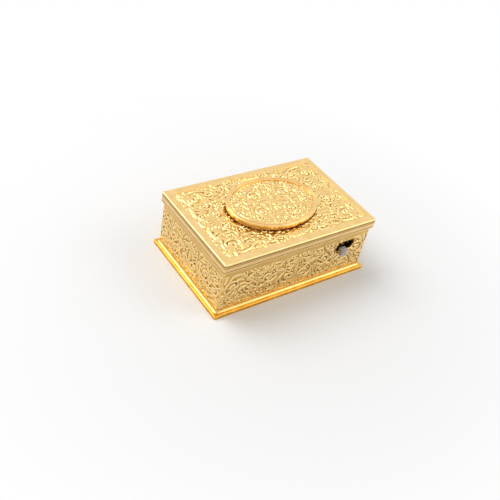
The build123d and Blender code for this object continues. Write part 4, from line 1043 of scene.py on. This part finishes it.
def camera():
    """The photograph's view, solved from the corners of the cover and the plinth."""
    right = Vector((0.818036, -0.547842, 0.175174))
    down_the_picture = Vector((-0.249643, -0.612567, -0.74996))
    forward = Vector((0.518165, 0.569764, -0.637867))
    place = Vector((-215.013, -227.761, 261.43)) * MM
    data = bpy.data.cameras.new("camera")
    data.sensor_width = 36.0
    data.lens = 51.07
    item = add_object("camera", data)
    turned = Matrix((right, -down_the_picture, -forward)).transposed().to_4x4()
    item.matrix_world = Matrix.Translation(place) @ turned
    bpy.context.scene.camera = item


def lamp(name, place, size, power):
    """A round soft lamp that looks at the middle of the floor."""
    data = bpy.data.lights.new(name, "AREA")
    data.shape = "DISK"
    data.size = size
    data.energy = power
    item = add_object(name, data)
    item.location = place
    item.rotation_euler = (-Vector(place)).to_track_quat("-Z", "Y").to_euler()


def seen_ray(tree):
    """1 for rays that show the surroundings: the camera's, and those that metal and glass send on."""
    path = tree.nodes.new("ShaderNodeLightPath")
    seen = path.outputs["Is Camera Ray"]
    for other in ("Is Glossy Ray", "Is Transmission Ray"):
        seen = math_node(tree, "MAXIMUM", seen, path.outputs[other])
    return seen


def light():
    """Two lamps and a white world, which lights the object less brightly than it shows."""
    lamp("key_lamp", (-0.30, 0.42, 0.70), 0.7, 4.4)
    lamp("fill_lamp", (0.55, -0.35, 0.55), 0.6, 1.4)
    world = bpy.data.worlds.new("world")
    bpy.context.scene.world = world
    world.use_nodes = True
    tree = world.node_tree
    shader = tree.nodes["Background"]
    tree.links.new(map_node(tree, seen_ray(tree), 0.45, 1.0), shader.inputs["Strength"])
    shader.inputs["Color"].default_value = (1, 1, 1, 1)


def floor():
    """A pale floor that keeps the object's shadow and turns white further off."""
    half, pale, white_from, white_at = 3.0, 0.94, 0.06, 0.19
    mesh = bpy.data.meshes.new("floor")
    corners = [(-half, -half, 0), (half, -half, 0), (half, half, 0), (-half, half, 0)]
    mesh.from_pydata(corners, [], [(0, 1, 2, 3)])
    item = add_object("floor", mesh)
    material, tree, shader = new_material("floor")
    shader.inputs["Base Color"].default_value = (pale, pale, pale, 1)
    shader.inputs["Roughness"].default_value = 0.9
    far = map_node(tree, length_node(tree, object_place(tree)), 0.0, 1.0, white_from, white_at)
    share = math_node(tree, "MULTIPLY", far, seen_ray(tree))
    white = tree.nodes.new("ShaderNodeEmission")
    mixed = tree.nodes.new("ShaderNodeMixShader")
    for source, socket in zip((share, shader.outputs[0], white.outputs[0]), mixed.inputs):
        tree.links.new(source, socket)
    tree.links.new(mixed.outputs[0], tree.nodes["Material Output"].inputs["Surface"])
    mesh.materials.append(material)


camera()
light()
floor()
bpy.context.scene.view_settings.view_transform = "Standard"
